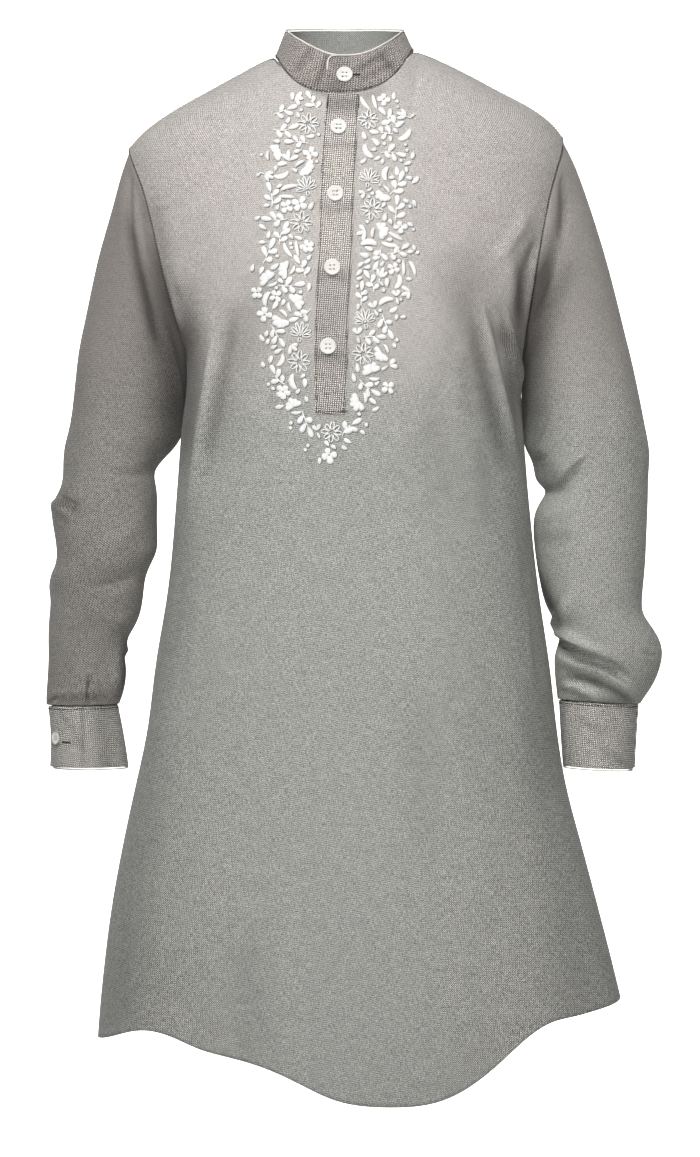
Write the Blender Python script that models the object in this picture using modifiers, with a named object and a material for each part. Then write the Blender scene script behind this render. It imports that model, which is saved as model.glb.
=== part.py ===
"""Kurta tunic in its worn, hollow form, without a wearer.

Each piece that is cut and sewn is one closed wall of cloth, lofted through tables of sections.
The tables are in millimetres. +X is the wearer's left, -Y is the front and +Z is up. The origin
is the middle of the neck at the height of the shoulders, where the wearer holds the garment up.
A place round the body or a sleeve is a turn in degrees: 0 is the front of the body or the outer
edge of a sleeve.
"""

import functools
import math
from collections import namedtuple

import bmesh
import bpy
import numpy as np
from mathutils import Matrix

MM = 0.001

CLOTH = 1.5  # wall of the body and the sleeves
BAND = 2.0  # wall of the collar and the cuffs, which are two layers with an interlining
STRIP = 1.2  # wall of the placket
SEAM = 0.4  # gap between the edges of two pieces that are sewn together
UNDERARM_EASE = 0.4  # more gap at the underarm, where the sleeve turns down beside the body
LAP = 0.5  # gap between a piece and what it lies on
CORD = 1.0  # radius of the piping

PANEL_COLUMNS_SHOULDER = 7  # columns of a panel that end on one shoulder seam
PANEL_COLUMNS_NECK = 10  # columns of a panel that end on the neck
PANEL_COLUMNS = 2 * PANEL_COLUMNS_SHOULDER + PANEL_COLUMNS_NECK
PANEL_ROWS_LOWER = 20  # rows from the hem to the underarm
PANEL_ROWS_UPPER = 10  # rows from the underarm to the shoulder
SLEEVE_RINGS = 27
CUFF_COLUMNS = 22
CUFF_ROWS = 4
TURN_SAMPLES = 121  # places by which a level stretch of the body is measured
BISECTIONS = 26
CORE_HEIGHT = -190.0  # lines from the body's core at this height spread the panels' upper rows
CORE_SWING = 210.0  # and the armhole's seam allowance points at it from above and from below

UNDERARM = -277.0
NECK_SEAM_TURN = 84.0  # the shoulder seam meets the neck here, in front of the ridge
SEAM_SWEEP = 2.4  # power by which the seam comes back to the ridge towards the shoulder's tip

# Horizontal sections of the body: its two sides, how far it stands forward and back, and how
# square its corners are.
Ring = namedtuple("Ring", "z right left front back square")
BODY = (
    Ring(-990, -243, 273, 116, 120, 2.3),
    Ring(-900, -238, 265, 115, 119, 2.3),
    Ring(-861, -234, 256, 114, 118, 2.3),
    Ring(-812, -228, 243.5, 113, 116, 2.3),
    Ring(-753, -217.5, 228, 113, 113, 2.3),
    Ring(-685, -203, 210, 113, 109, 2.35),
    Ring(-641, -193, 203, 114, 106, 2.4),
    Ring(-577, -185.5, 196, 115, 102, 2.4),
    Ring(-497, -172, 184, 115, 98, 2.4),
    Ring(-432, -166, 177, 116, 99, 2.4),
    Ring(-346, -160, 170, 119, 105, 2.4),
    Ring(-277, -155, 169, 121, 111, 2.4),
    Ring(-240, -172, 180, 121, 112, 2.4),
    Ring(-200, -189, 193, 119, 111, 2.4),
    Ring(-150, -204, 206, 113, 108, 2.35),
    Ring(-110, -210, 212, 106, 104, 2.3),
    Ring(-76, -210, 212, 99, 99, 2.25),
    Ring(-60, -195.5, 204.5, 95, 95, 2.2),
    Ring(-40, -166.5, 181.5, 89, 89, 2.15),
    Ring(-20, -128.5, 141, 83, 82, 2.1),
    Ring(0, -91.5, 102.5, 76, 75, 2.05),
    Ring(12, -70, 73, 71, 69, 2.0),
    Ring(24, -59, 58, 66, 65, 2.0),
)

# The armhole is a loop on the body, seen from the side: half its height comes from the tip of
# the shoulder and the underarm, and it reaches this far forward and back.
ARMHOLE_FRONT = 58.0
ARMHOLE_BACK = 54.0
SHOULDER_TIP = {"right": -76.0, "left": -66.0}

# The way out of the sleeve's head round the armhole: how far it leans across, forward and up
# with the turn, and all round. At the underarm the sleeve drops and is tucked in.
Head = namedtuple("Head", "across out forward rise drop")
SLEEVE_HEAD = Head(0.55, 0.1, 1.1, 0.8, 0.1)
SLEEVE_DROP = (0.3, -0.95)
UNDERARM_TUCK = 0.6
HEAD_SHARE = 0.3  # share of the sleeve's length over which it takes the armhole's outline

# The plan of the neck's edge, where the panels end and the collar starts, and of the collar's
# top edge with its height, by turn.
Neck = namedtuple("Neck", "turn x y top_x top_y top_z")
NECK = (
    Neck(0, 0.0, -88.5, 0.0, -80.0, -2.7),
    Neck(20, 21.2, -87.5, 19.8, -78.5, -0.5),
    Neck(40, 42.3, -83.0, 38.6, -69.0, 10.5),
    Neck(60, 59.5, -69.5, 51.9, -51.0, 21.5),
    Neck(75, 67.3, -48.0, 58.5, -28.0, 31.0),
    Neck(90, 70.3, -14.0, 60.8, -4.0, 36.5),
    Neck(110, 67.3, 22.0, 58.0, 22.0, 41.5),
    Neck(135, 51.1, 50.0, 43.7, 44.0, 46.5),
    Neck(160, 26.5, 63.0, 21.4, 57.0, 49.3),
    Neck(180, 0.0, 67.0, 0.0, 61.0, 49.5),
)
NECK_SIDE = {"right": 1.0, "left": 0.93}  # how wide the neck is to each side, as a share
COLLAR_HEIGHT = 34.0
COLLAR_ROWS = 4
COLLAR_LAP_TURN = 16.8  # the band laps over itself this far to each side of the front
COLLAR_EASE = 30.0  # degrees over which the end beneath moves in
COLLAR_LEAN = 0.8  # how much of the depth, beside the width, turns the band's outward way
COLLAR_CORNER = (6.0, 1.8, 0.4)  # how far the upper end's corner is rounded, by column
COLLAR_END_STEPS = (1.6, 4.8)  # extra columns beside the upper end, in degrees from it

# The hem's height along the width, front and back, and the slits at the two sides.
Hem = namedtuple("Hem", "x front back")
HEM = (
    Hem(-240, -932, -932),
    Hem(-212, -919, -930),
    Hem(-180, -912, -933),
    Hem(-140, -929, -942),
    Hem(-92, -938, -955),
    Hem(-50, -953, -966),
    Hem(-20, -970, -972),
    Hem(36, -979, -975),
    Hem(100, -970, -968),
    Hem(133, -948, -957),
    Hem(165, -918, -944),
    Hem(188, -904, -930),
    Hem(220, -901, -912),
    Hem(262, -894, -894),
)
SLIT_TOP = -790.0
SLIT_OPENING = 4.0  # half the width that the slit opens to at the hem

# Folds: a line from one end to the other as seen from the front, how far it bows sideways, how
# wide it is and how far it stands out, or in when negative.
Fold = namedtuple("Fold", "x1 z1 x2 z2 bow width height")
FRONT_FOLDS = (
    Fold(-122, -232, -156, -446, 6, 9, 5.5),
    Fold(-141, -262, -163, -400, 3, 8, -4.0),
    Fold(121, -222, 168, -392, -5, 10, 6.5),
    Fold(144, -236, 172, -352, -3, 8, -4.5),
    Fold(150, -222, 168, -284, -2, 8, 4.5),
    Fold(-176, -150, -96, -262, 12, 17, -3.5),
    Fold(170, -150, 104, -248, -10, 17, -3.5),
    Fold(-60, -330, -88, -560, 8, 26, 2.0),
    Fold(84, -380, 96, -640, -6, 24, 2.0),
    Fold(-118, -560, -150, -800, 6, 22, -3.0),
    Fold(150, -520, 190, -800, -8, 20, -3.0),
)
BACK_FOLDS = (
    Fold(-130, -240, -150, -420, 6, 12, 6.0),
    Fold(134, -236, 158, -410, -6, 12, 6.0),
    Fold(-170, -150, -70, -280, 14, 18, -4.0),
    Fold(168, -150, 74, -270, -12, 18, -4.0),
    Fold(-150, -430, 120, -470, 26, 22, 4.0),
    Fold(-110, -520, 150, -500, -22, 20, -3.5),
    Fold(-100, -560, -130, -840, 6, 22, 4.0),
    Fold(92, -540, 130, -860, -6, 24, 4.0),
)

# Soft flutes that deepen down to the hem, by their turn round the body.
Flute = namedtuple("Flute", "turn top width height")
FLUTES = (
    Flute(-70, -600, 7, -4.0),
    Flute(-55, -560, 8, 5.0),
    Flute(-31, -690, 8, -4.0),
    Flute(-12, -760, 9, 3.0),
    Flute(17, -780, 9, -3.0),
    Flute(37, -680, 8, 4.5),
    Flute(58, -620, 8, -4.0),
    Flute(71, -600, 6, 4.0),
    Flute(108, -600, 8, -5.0),
    Flute(128, -560, 8, 7.0),
    Flute(148, -620, 8, -5.0),
    Flute(171, -580, 9, 6.5),
    Flute(-166, -640, 8, -5.0),
    Flute(-146, -600, 8, 6.0),
    Flute(-126, -640, 8, -5.5),
    Flute(-108, -580, 7, 5.0),
)

# Cuts across a sleeve: its outer and inner edge, how far it stands forward and back of its
# middle, and where that middle lies.
Cut = namedtuple("Cut", "outer_x outer_z inner_x inner_z front back mid")
SLEEVE_RIGHT = (
    Cut(-210, -76, -155, -277, 58, 54, 0),
    Cut(-219, -110, -156.5, -283, 62, 57, 3),
    Cut(-230, -146, -158, -292, 63, 58, 7),
    Cut(-241, -184, -159, -303, 62, 58, 11),
    Cut(-250, -226, -160, -317, 60, 57, 14),
    Cut(-260, -272, -160.5, -332, 58, 56, 16),
    Cut(-264, -312, -161, -347, 56, 55, 16),
    Cut(-268, -345, -167, -362, 55, 54, 13),
    Cut(-275, -372, -181, -377, 53, 53, 8),
    Cut(-272, -400, -188, -390, 51, 52, 2),
    Cut(-286, -421, -183, -408, 51, 51, -3),
    Cut(-280, -447, -184, -436, 50, 50, -7),
    Cut(-278, -476, -182, -464, 48, 48, -10),
    Cut(-287, -493, -194, -484, 46, 47, -11),
    Cut(-283, -510, -196, -505, 45, 46, -12),
    Cut(-286, -538, -201, -533, 43, 44, -14),
    Cut(-285, -562, -215, -552, 40, 42, -15),
    Cut(-286, -584, -212, -576, 38, 40, -16),
    Cut(-287, -600, -214, -596, 35, 38, -17),
    Cut(-287, -611, -219, -610, 31, 34, -18),
)
SLEEVE_LEFT = (
    Cut(210, -66, 169, -277, 58, 54, 0),
    Cut(223, -99, 170, -284, 62, 57, 3),
    Cut(240, -148, 170, -295, 63, 58, 7),
    Cut(254.5, -196, 170, -309, 62, 58, 11),
    Cut(269, -254, 170, -327, 60, 57, 14),
    Cut(281, -305, 171, -346, 58, 56, 16),
    Cut(289.5, -348, 173, -365, 56, 55, 16),
    Cut(293, -367, 182, -379, 54, 54, 15),
    Cut(292, -384, 182, -394, 52, 53, 14),
    Cut(291, -400, 194.5, -405, 51, 52, 13),
    Cut(291, -414, 189, -415, 52, 52, 13),
    Cut(290, -438, 181, -430, 52, 52, 13),
    Cut(289, -466, 182, -457, 51, 51, 13),
    Cut(287, -495, 186, -486, 49, 50, 13),
    Cut(284, -522, 192, -515, 47, 48, 13),
    Cut(295, -538, 204, -536, 45, 47, 13),
    Cut(305, -555, 207, -549, 44, 46, 13),
    Cut(304, -573, 202, -563, 42, 44, 13),
    Cut(298, -590, 202, -580, 39, 42, 14),
    Cut(290, -602, 203.5, -594, 36, 38, 14),
    Cut(284, -611, 205, -607, 31, 34, 15),
)
CUFF_RIGHT = (
    Cut(-284, -612, -219, -611, 31, 34, -18),
    Cut(-281, -642, -213, -640, 32, 35, -19),
    Cut(-282, -670, -208.5, -670, 33, 36, -20),
)
CUFF_LEFT = (
    Cut(282, -612, 205, -608, 31, 34, 15),
    Cut(280, -642, 206.5, -639, 32, 35, 16),
    Cut(278.5, -675, 209, -672, 33, 36, 17),
)
CUFF_LAP = 42.0  # how far the two ends of a cuff lap, in degrees round it
LAP_EASE = 40.0  # degrees over which the lapping end of a cuff comes to lie on the other
CUFF_END_TURN = {"right": 12.0, "left": -9.0}

SLEEVE_RIGHT_FOLDS = (
    Fold(-206, -100, -209, -190, -4, 7, -3.5),
    Fold(-222, -120, -224, -230, 3, 10, 3.0),
    Fold(-184, -255, -172, -340, 4, 9, -3.5),
    Fold(-187, -389, -226, -352, -4, 9, 3.5),
    Fold(-187, -396, -236, -385, 5, 9, -3.0),
    Fold(-286, -419, -238, -438, 5, 8, 5.0),
    Fold(-274, -405, -236, -420, 4, 8, -4.0),
    Fold(-186, -428, -228, -470, 6, 11, 2.5),
    Fold(-196, -488, -246, -500, 6, 10, -2.5),
    Fold(-286, -492, -250, -484, 4, 9, 3.0),
    Fold(-203, -536, -250, -520, -5, 10, 3.0),
    Fold(-213, -548, -222, -592, -5, 6, 4.0),
    Fold(-249, -572, -250, -610, 0, 5, -3.0),
    Fold(-286, -607, -272, -604, 0, 4, -3.5),
)
SLEEVE_LEFT_FOLDS = (
    Fold(209, -108, 176, -318, -8, 8, 5.0),
    Fold(199, -128, 176, -262, -5, 8, -4.0),
    Fold(200, -330, 182, -378, 4, 9, 5.0),
    Fold(212, -348, 196, -384, 5, 9, -4.0),
    Fold(230, -368, 198, -404, 6, 9, 6.0),
    Fold(238, -382, 206, -414, 6, 9, -4.0),
    Fold(186, -452, 226, -440, 5, 11, -2.5),
    Fold(184, -500, 214, -486, 5, 12, 2.5),
    Fold(219, -498, 210, -548, -9, 8, 6.5),
    Fold(208, -545, 254, -560, -5, 8, 5.0),
    Fold(206, -556, 246, -570, -6, 7, -5.5),
    Fold(206, -566, 284, -606, 6, 8, 6.0),
    Fold(208, -580, 258, -598, 9, 7, -4.5),
    Fold(210, -592, 240, -606, 8, 6, 4.5),
)
SLEEVE_BACK_FOLDS = (
    Fold(188, -250, 240, -330, 6, 12, 4.0),
    Fold(196, -382, 252, -356, 6, 11, 5.0),
    Fold(200, -420, 270, -400, -7, 11, -4.5),
    Fold(214, -500, 262, -460, 6, 12, 4.0),
    Fold(216, -560, 282, -540, 6, 10, 4.5),
    Fold(220, -590, 280, -578, -5, 9, -4.0),
)

# The placket strip, by height: the middle of its width, and its width.
Strip = namedtuple("Strip", "z middle width")
PLACKET = (
    Strip(-339.0, -15.3, 27.5),
    Strip(-300.0, -14.6, 30.5),
    Strip(-250.0, -13.9, 31.0),
    Strip(-190.0, -10.6, 31.5),
    Strip(-130.0, -8.8, 31.5),
    Strip(-80.0, -6.2, 32.0),
    Strip(-38.5, -3.6, 29.0),
)
PLACKET_ROWS = 24
PLACKET_COLUMNS = 4

Spot = namedtuple("Spot", "name x z")
PLACKET_BUTTONS = (
    Spot("button_2", -7.6, -72.0),
    Spot("button_3", -10.4, -135.5),
    Spot("button_4", -13.1, -204.3),
    Spot("button_5", -17.0, -276.8),
)
COLLAR_BUTTON = Spot("button_1", -1.9, -20.5)
BUTTON_RADIUS = 7.2
CUFF_BUTTON_RADIUS = 5.8
BUTTON_THICKNESS = 3.0
BUTTON_PROFILE = (  # shares of the radius and of the thickness, from the dish to the back
    (0.0, 0.6), (0.55, 0.6), (0.78, 1.0), (1.0, 0.6), (0.86, 0.0), (0.0, 0.0),
)
CUFF_BUTTON_TURN = {"right": 40.0, "left": -30.0}

# The collar's piping stops short of the upper end's corner, and then turns down that end: degrees
# before the end, share of the collar's height, and how far it stands above the edge and beside
# it, as shares of its own height over the edge and of its radius.
PIPING_CORNER = 6.0
PIPING_END = ((4.0, 1.0, 1.0, 0), (0.6, 0.95, 0.55, 0.75), (-0.6, 0.84, 0, 0.75),
              (-0.8, 0.7, 0, 0.75), (-0.8, 0.62, 0, 0.75))

Finish = namedtuple("Finish", "colour roughness")
GREY_CLOTH = Finish((0.34, 0.32, 0.30), 0.85)
COLLAR_CLOTH = Finish((0.24, 0.22, 0.21), 0.85)
CREAM_CORD = Finish((0.80, 0.75, 0.66), 0.7)
WHITE_RESIN = Finish((0.88, 0.87, 0.84), 0.35)


# ---- Reading the tables -----------------------------------------------------------------------


def along(rows, column, place):
    """A column of a table at a place between its rows, on a smooth curve through them."""
    places = np.array([row[0] for row in rows], float)
    values = np.array([getattr(row, column) for row in rows], float)
    place = np.clip(place, places[0], places[-1])
    steps = np.diff(places)
    slopes = np.diff(values) / steps
    inner = (slopes[:-1] * steps[1:] + slopes[1:] * steps[:-1]) / (steps[1:] + steps[:-1])
    slope = np.concatenate([[slopes[0]], inner, [slopes[-1]]])
    i = np.clip(np.searchsorted(places, place, side="right") - 1, 0, len(steps) - 1)
    s = (place - places[i]) / steps[i]
    return (
        values[i] * (1 + 2 * s) * (1 - s) ** 2
        + values[i + 1] * s * s * (3 - 2 * s)
        + steps[i] * (slope[i] * s * (1 - s) ** 2 + slope[i + 1] * s * s * (s - 1))
    )


def unit(vector):
    return vector / np.maximum(np.linalg.norm(vector, axis=-1, keepdims=True), 1e-9)


def fold_height(folds, x, z):
    """How far the folds move the cloth out at a place seen from the front."""
    total = 0.0
    for fold in folds:
        start = np.array([fold.x1, fold.z1], float)
        run = np.array([fold.x2, fold.z2], float) - start
        length = math.hypot(*run)
        side = np.array([-run[1], run[0]]) / length
        s = float(np.clip(np.dot([x, z] - start, run) / length**2, 0, 1))
        middle = start + run * s + side * fold.bow * math.sin(math.pi * s)
        away = math.hypot(x - middle[0], z - middle[1])
        fade = math.sin(math.pi * s) ** 0.7 if 0 < s < 1 else 0.0
        total += fold.height * fade * math.exp(-((away / fold.width) ** 2))
    return total


# ---- The body's surface -----------------------------------------------------------------------


def body_point(turn, z):
    """A point of the smooth body at a turn round it and a height."""
    right, left = along(BODY, "right", z), along(BODY, "left", z)
    power = 2 / along(BODY, "square", z)
    s, c = math.sin(math.radians(turn)), math.cos(math.radians(turn))
    depth = along(BODY, "front" if c > 0 else "back", z)
    x = (left + right) / 2 + (left - right) / 2 * math.copysign(abs(s) ** power, s)
    return np.array([x, -depth * math.copysign(abs(c) ** power, c), z])


def body_normal(turn, z):
    across = body_point(turn + 1.5, z) - body_point(turn - 1.5, z)
    up = body_point(turn, z + 3) - body_point(turn, z - 3)
    return unit(np.cross(across, up))


def body_turn(x, y, z):
    """The turn at which a level line from the body's middle through (x, y) meets it."""
    right, left = along(BODY, "right", z), along(BODY, "left", z)
    power = along(BODY, "square", z) / 2
    depth = along(BODY, "front" if y < 0 else "back", z)
    across = (x - (left + right) / 2) / ((left - right) / 2)
    s = math.copysign(abs(across) ** power, across)
    c = math.copysign(abs(y / depth) ** power, -y)
    return math.degrees(math.atan2(s, c))


def front_turn(x, z):
    """The turn of the point of the front that lies at x, seen from the front."""
    right, left = along(BODY, "right", z), along(BODY, "left", z)
    across = (x - (left + right) / 2) / ((left - right) / 2)
    across = min(abs(across), 1.0) ** (along(BODY, "square", z) / 2) * math.copysign(1, across)
    return math.degrees(math.asin(across))


def drape(turn, z):
    """How far the folds and flutes move the body's cloth out. It is 0 along the side seams."""
    x = body_point(turn, z)[0]
    c = math.cos(math.radians(turn))
    total = fold_height(FRONT_FOLDS if c > 0 else BACK_FOLDS, x, z)
    for flute in FLUTES:
        deep = min(max((flute.top - z) / (flute.top + 960), 0), 1.1)
        away = (turn - flute.turn + 180) % 360 - 180
        total += flute.height * deep**1.3 * math.exp(-((away / flute.width) ** 2))
    return total * min(abs(c) * 3.5, 1.0)


def body_place(turn, z, lift=0.0):
    """A point on the outside of the draped body, moved out by a lift, and its normal."""
    turn = (turn + 180) % 360 - 180
    normal = body_normal(turn, z)
    return body_point(turn, z) + normal * (drape(turn, z) + lift), normal


@functools.lru_cache(maxsize=None)
def even_turns(z, first, last, count):
    """Turns that part a level stretch of the body into equal lengths."""
    turns = np.linspace(first, last, TURN_SAMPLES)
    points = np.array([body_point(turn, z) for turn in turns])
    lengths = np.linalg.norm(np.diff(points, axis=0), axis=1)
    run = np.concatenate([[0], np.cumsum(lengths)])
    return np.interp(np.linspace(0, run[-1], count + 1), run, turns)


# ---- The seams that pieces share --------------------------------------------------------------


def armhole_point(side, turn):
    """A point of the armhole: 0 is the tip of the shoulder, 90 the front, 180 the underarm."""
    tip = SHOULDER_TIP[side]
    z = (tip + UNDERARM) / 2 + (tip - UNDERARM) / 2 * math.cos(math.radians(turn))
    s = math.sin(math.radians(turn))
    reach = ARMHOLE_FRONT if s > 0 else ARMHOLE_BACK
    y = -reach * s
    right, left = along(BODY, "right", z), along(BODY, "left", z)
    square = along(BODY, "square", z)
    depth = along(BODY, "front" if y < 0 else "back", z)
    across = (1 - (abs(y) / depth) ** square) ** (1 / square)
    x = (left + right) / 2 + (left - right) / 2 * across * (1 if side == "left" else -1)
    return np.array([x, y, z])


def armhole_seam(side, turn):
    """The point, half the gap from the sleeve to the body, and the outward way, at the seam."""
    point = armhole_point(side, turn)
    tangent = unit(armhole_point(side, turn + 3) - armhole_point(side, turn - 3))
    body = body_normal(body_turn(point[0], point[1], point[2]), point[2])
    into_body = unit(np.cross(tangent, body))
    sign = 1 if side == "left" else -1
    s, c = math.sin(math.radians(turn)), math.cos(math.radians(turn))
    core = np.array([0, 0, CORE_SWING * c + CORE_HEIGHT])
    into_body *= np.sign(np.dot(into_body, core - point))
    head = SLEEVE_HEAD
    sleeve = unit(np.array([sign * (head.across * c + head.out), -s * head.forward,
                            head.rise * c - head.drop]))
    if turn == 180:
        sleeve = np.array([-sign, 0.0, 0.0])
    into_sleeve = np.array([sign * SLEEVE_DROP[0], 0.0, SLEEVE_DROP[1]])
    out = unit(body + sleeve + UNDERARM_TUCK * (into_body + into_sleeve) * (1 - c) / 2)
    out = unit(out - tangent * np.dot(out, tangent))
    apart = unit(np.cross(tangent, out))
    apart *= np.sign(np.dot(apart, into_body - into_sleeve))
    return point, apart * (SEAM / 2 + UNDERARM_EASE * max(-c, 0)), out


def inside_body(x, y, z):
    """Whether a place lies inside the smooth body."""
    right, left = along(BODY, "right", z), along(BODY, "left", z)
    depth = along(BODY, "front" if y < 0 else "back", z)
    square = along(BODY, "square", z)
    across = abs(x - (left + right) / 2) / ((left - right) / 2)
    return across**square + (abs(y) / depth) ** square < 1


def body_height(x, y):
    """The height at which the body's surface passes over a place in plan, near the neck."""
    low, high = -140.0, BODY[-1].z
    for _ in range(BISECTIONS):
        z = (low + high) / 2
        low, high = (z, high) if inside_body(x, y, z) else (low, z)
    return low


def body_through(place):
    """The point of the body on a line from its core out through a place."""
    core = np.array([place[0] * 0.5, 0.0, CORE_HEIGHT])
    low, high = 0.6, 1.6
    for _ in range(BISECTIONS):
        share = (low + high) / 2
        low, high = (share, high) if inside_body(*(core + (place - core) * share)) else (low, share)
    return core + (place - core) * low


def neck_point(turn):
    """A point of the neck's edge on the body, by turn: 0 front, 90 the wearer's left."""
    turn = (turn + 180) % 360 - 180
    side = NECK_SIDE["left"] if turn > 0 else -NECK_SIDE["right"]
    x, y = along(NECK, "x", abs(turn)) * side, along(NECK, "y", abs(turn))
    return np.array([x, y, body_height(x, y)])


def shoulder_seam(side, share):
    """A point of the shoulder seam, from the tip of the shoulder to the neck."""
    sign = 1 if side == "left" else -1
    neck = neck_point(sign * NECK_SEAM_TURN)
    tip = armhole_point(side, 0)
    end_turn = body_turn(*neck)
    turn = sign * 90 + (end_turn - sign * 90) * share**SEAM_SWEEP
    return body_point(turn, tip[2] + (neck[2] - tip[2]) * share)


# ---- Walls ------------------------------------------------------------------------------------


def finish_material(name, finish):
    material = bpy.data.materials.new(name)
    material.use_nodes = True
    shader = material.node_tree.nodes["Principled BSDF"]
    shader.inputs["Base Color"].default_value = (*finish.colour, 1.0)
    shader.inputs["Roughness"].default_value = finish.roughness
    return material


def add_object(name, mesh, finish):
    piece = bpy.data.objects.new(name, mesh)
    mesh.materials.append(finish_material(name + "_cloth", finish))
    garment.objects.link(piece)
    mesh.shade_smooth()
    mesh.set_sharp_from_angle(angle=math.radians(40))
    return piece


def wall(name, outer, inner, finish, tube=False):
    """A closed wall between two grids of points of unlike sections, open or joined round."""
    rows, columns = outer.shape[:2]
    points = np.concatenate([outer.reshape(-1, 3), inner.reshape(-1, 3)]) * MM
    half = rows * columns
    last = columns if tube else columns - 1
    faces = []
    for i in range(rows - 1):
        for j in range(last):
            a, b = i * columns + j, i * columns + (j + 1) % columns
            faces.append((a, b, b + columns, a + columns))
            faces.append((half + a + columns, half + b + columns, half + b, half + a))
    edges = [(j, (j + 1) % columns) for j in range(last)]
    top = (rows - 1) * columns
    faces += [(half + a, half + b, b, a) for a, b in edges]
    faces += [(top + a, top + b, half + top + b, half + top + a) for a, b in edges]
    if not tube:
        for i in range(rows - 1):
            a, b = i * columns, (i + 1) * columns
            faces.append((a, b, half + b, half + a))
            a, b = a + columns - 1, b + columns - 1
            faces.append((b, a, half + a, half + b))
    mesh = bpy.data.meshes.new(name)
    mesh.from_pydata(points.tolist(), [], faces)
    work = bmesh.new()
    work.from_mesh(mesh)
    if work.calc_volume(signed=True) < 0:
        bmesh.ops.reverse_faces(work, faces=work.faces)
    work.to_mesh(mesh)
    work.free()
    return add_object(name, mesh, finish)


def grid_normals(points, tube):
    """Outward normals of a grid of points, by the differences along its two ways."""
    if tube:
        across = np.roll(points, -1, axis=1) - np.roll(points, 1, axis=1)
    else:
        across = np.gradient(points, axis=1)
    return unit(np.cross(np.gradient(points, axis=0), across))


# ---- Front and back ---------------------------------------------------------------------------


def panel(name, facing):
    """The front or back panel, from the hem up to the neck and the shoulder seams."""
    front = facing == "front"
    first, last = (-90.0, 90.0) if front else (270.0, 90.0)
    sides = ("right", "left")
    outer = np.zeros((PANEL_ROWS_LOWER + PANEL_ROWS_UPPER + 1, PANEL_COLUMNS + 1, 3))
    inner = np.zeros_like(outer)
    pull = np.array([0.0, -SEAM / 2 if front else SEAM / 2, 0.0])

    hem_turns = even_turns(-930, first, last, PANEL_COLUMNS)
    hem = [along(HEM, facing, body_point(turn, -930)[0]) for turn in hem_turns]
    for i in range(PANEL_ROWS_LOWER + 1):
        share = i / PANEL_ROWS_LOWER
        for j in range(PANEL_COLUMNS + 1):
            z = hem[j] + (UNDERARM - hem[j]) * share
            turn = even_turns(round(z, -1), first, last, PANEL_COLUMNS)[j]
            point, normal = body_place(turn, z)
            if j in (0, PANEL_COLUMNS):
                slit = max(SLIT_TOP - z, 0) / (SLIT_TOP - hem[j]) * SLIT_OPENING
                point = point + pull * (1 + slit / (SEAM / 2))
            outer[i, j], inner[i, j] = point, point - normal * CLOTH

    bottom = outer[PANEL_ROWS_LOWER].copy()
    shares = np.linspace(0, 1, PANEL_COLUMNS_SHOULDER + 1)
    neck_turns = np.linspace(-NECK_SEAM_TURN, NECK_SEAM_TURN, PANEL_COLUMNS_NECK + 1)
    if not front:
        neck_turns = np.linspace(360 - NECK_SEAM_TURN, NECK_SEAM_TURN, PANEL_COLUMNS_NECK + 1)
    top = [shoulder_seam("right", share) for share in shares[:-1]]
    top += [neck_point(turn) for turn in neck_turns]
    top += [shoulder_seam("left", share) for share in shares[:-1][::-1]]
    top = np.array(top)
    for i in range(1, PANEL_ROWS_UPPER + 1):
        v = i / PANEL_ROWS_UPPER
        arm_turn = 180 - 180 * v if front else 180 + 180 * v
        ends = [armhole_seam(side, arm_turn) for side in sides]
        for j in range(PANEL_COLUMNS + 1):
            u = j / PANEL_COLUMNS
            row = PANEL_ROWS_LOWER + i
            if j in (0, PANEL_COLUMNS):
                point, apart, out = ends[0 if j == 0 else 1]
                point = point + apart + pull * (v in (0, 1))
                outer[row, j], inner[row, j] = point, point - out * CLOTH
                continue
            blend = (
                (1 - v) * bottom[j] + v * top[j] + (1 - u) * ends[0][0] + u * ends[1][0]
                - (1 - u) * (1 - v) * bottom[0] - u * (1 - v) * bottom[-1]
                - (1 - u) * v * top[0] - u * v * top[-1]
            )
            point = top[j] if i == PANEL_ROWS_UPPER else body_through(blend)
            turn = body_turn(*point)
            normal = body_normal(turn, point[2])
            if i < PANEL_ROWS_UPPER:
                point = point + normal * drape(turn, point[2])
            elif not PANEL_COLUMNS_SHOULDER < j < PANEL_COLUMNS - PANEL_COLUMNS_SHOULDER:
                point = point + pull
            outer[row, j], inner[row, j] = point, point - normal * CLOTH
    for j in (0, PANEL_COLUMNS):
        point, apart, out = armhole_seam(sides[j > 0], 180.0)
        point = point + apart + pull
        outer[PANEL_ROWS_LOWER, j] = point
        inner[PANEL_ROWS_LOWER, j] = point - out * CLOTH
    return wall(name, outer, inner, GREY_CLOTH)


# ---- Sleeves and cuffs ------------------------------------------------------------------------


def cut_point(cuts, place, turn):
    """A point round a sleeve at a place along its cuts: 0 outer edge, 90 front, 180 inner."""
    i = int(min(max(place, 0), len(cuts) - 1.001))
    s = place - i
    before, after = cuts[max(i - 1, 0)], cuts[min(i + 2, len(cuts) - 1)]
    here, there = cuts[i], cuts[i + 1]
    cut = Cut(*(
        0.5 * (2 * b + (c - a) * s + (2 * a - 5 * b + 4 * c - d) * s * s
               + (3 * b - a - 3 * c + d) * s**3)
        for a, b, c, d in zip(before, here, there, after)
    ))
    outer = np.array([cut.outer_x, cut.mid, cut.outer_z])
    inner = np.array([cut.inner_x, cut.mid, cut.inner_z])
    s, c = math.sin(math.radians(turn)), math.cos(math.radians(turn))
    depth = cut.front if s > 0 else cut.back
    return (outer + inner) / 2 + (outer - inner) / 2 * c + np.array([0, -depth * s, 0])


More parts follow.
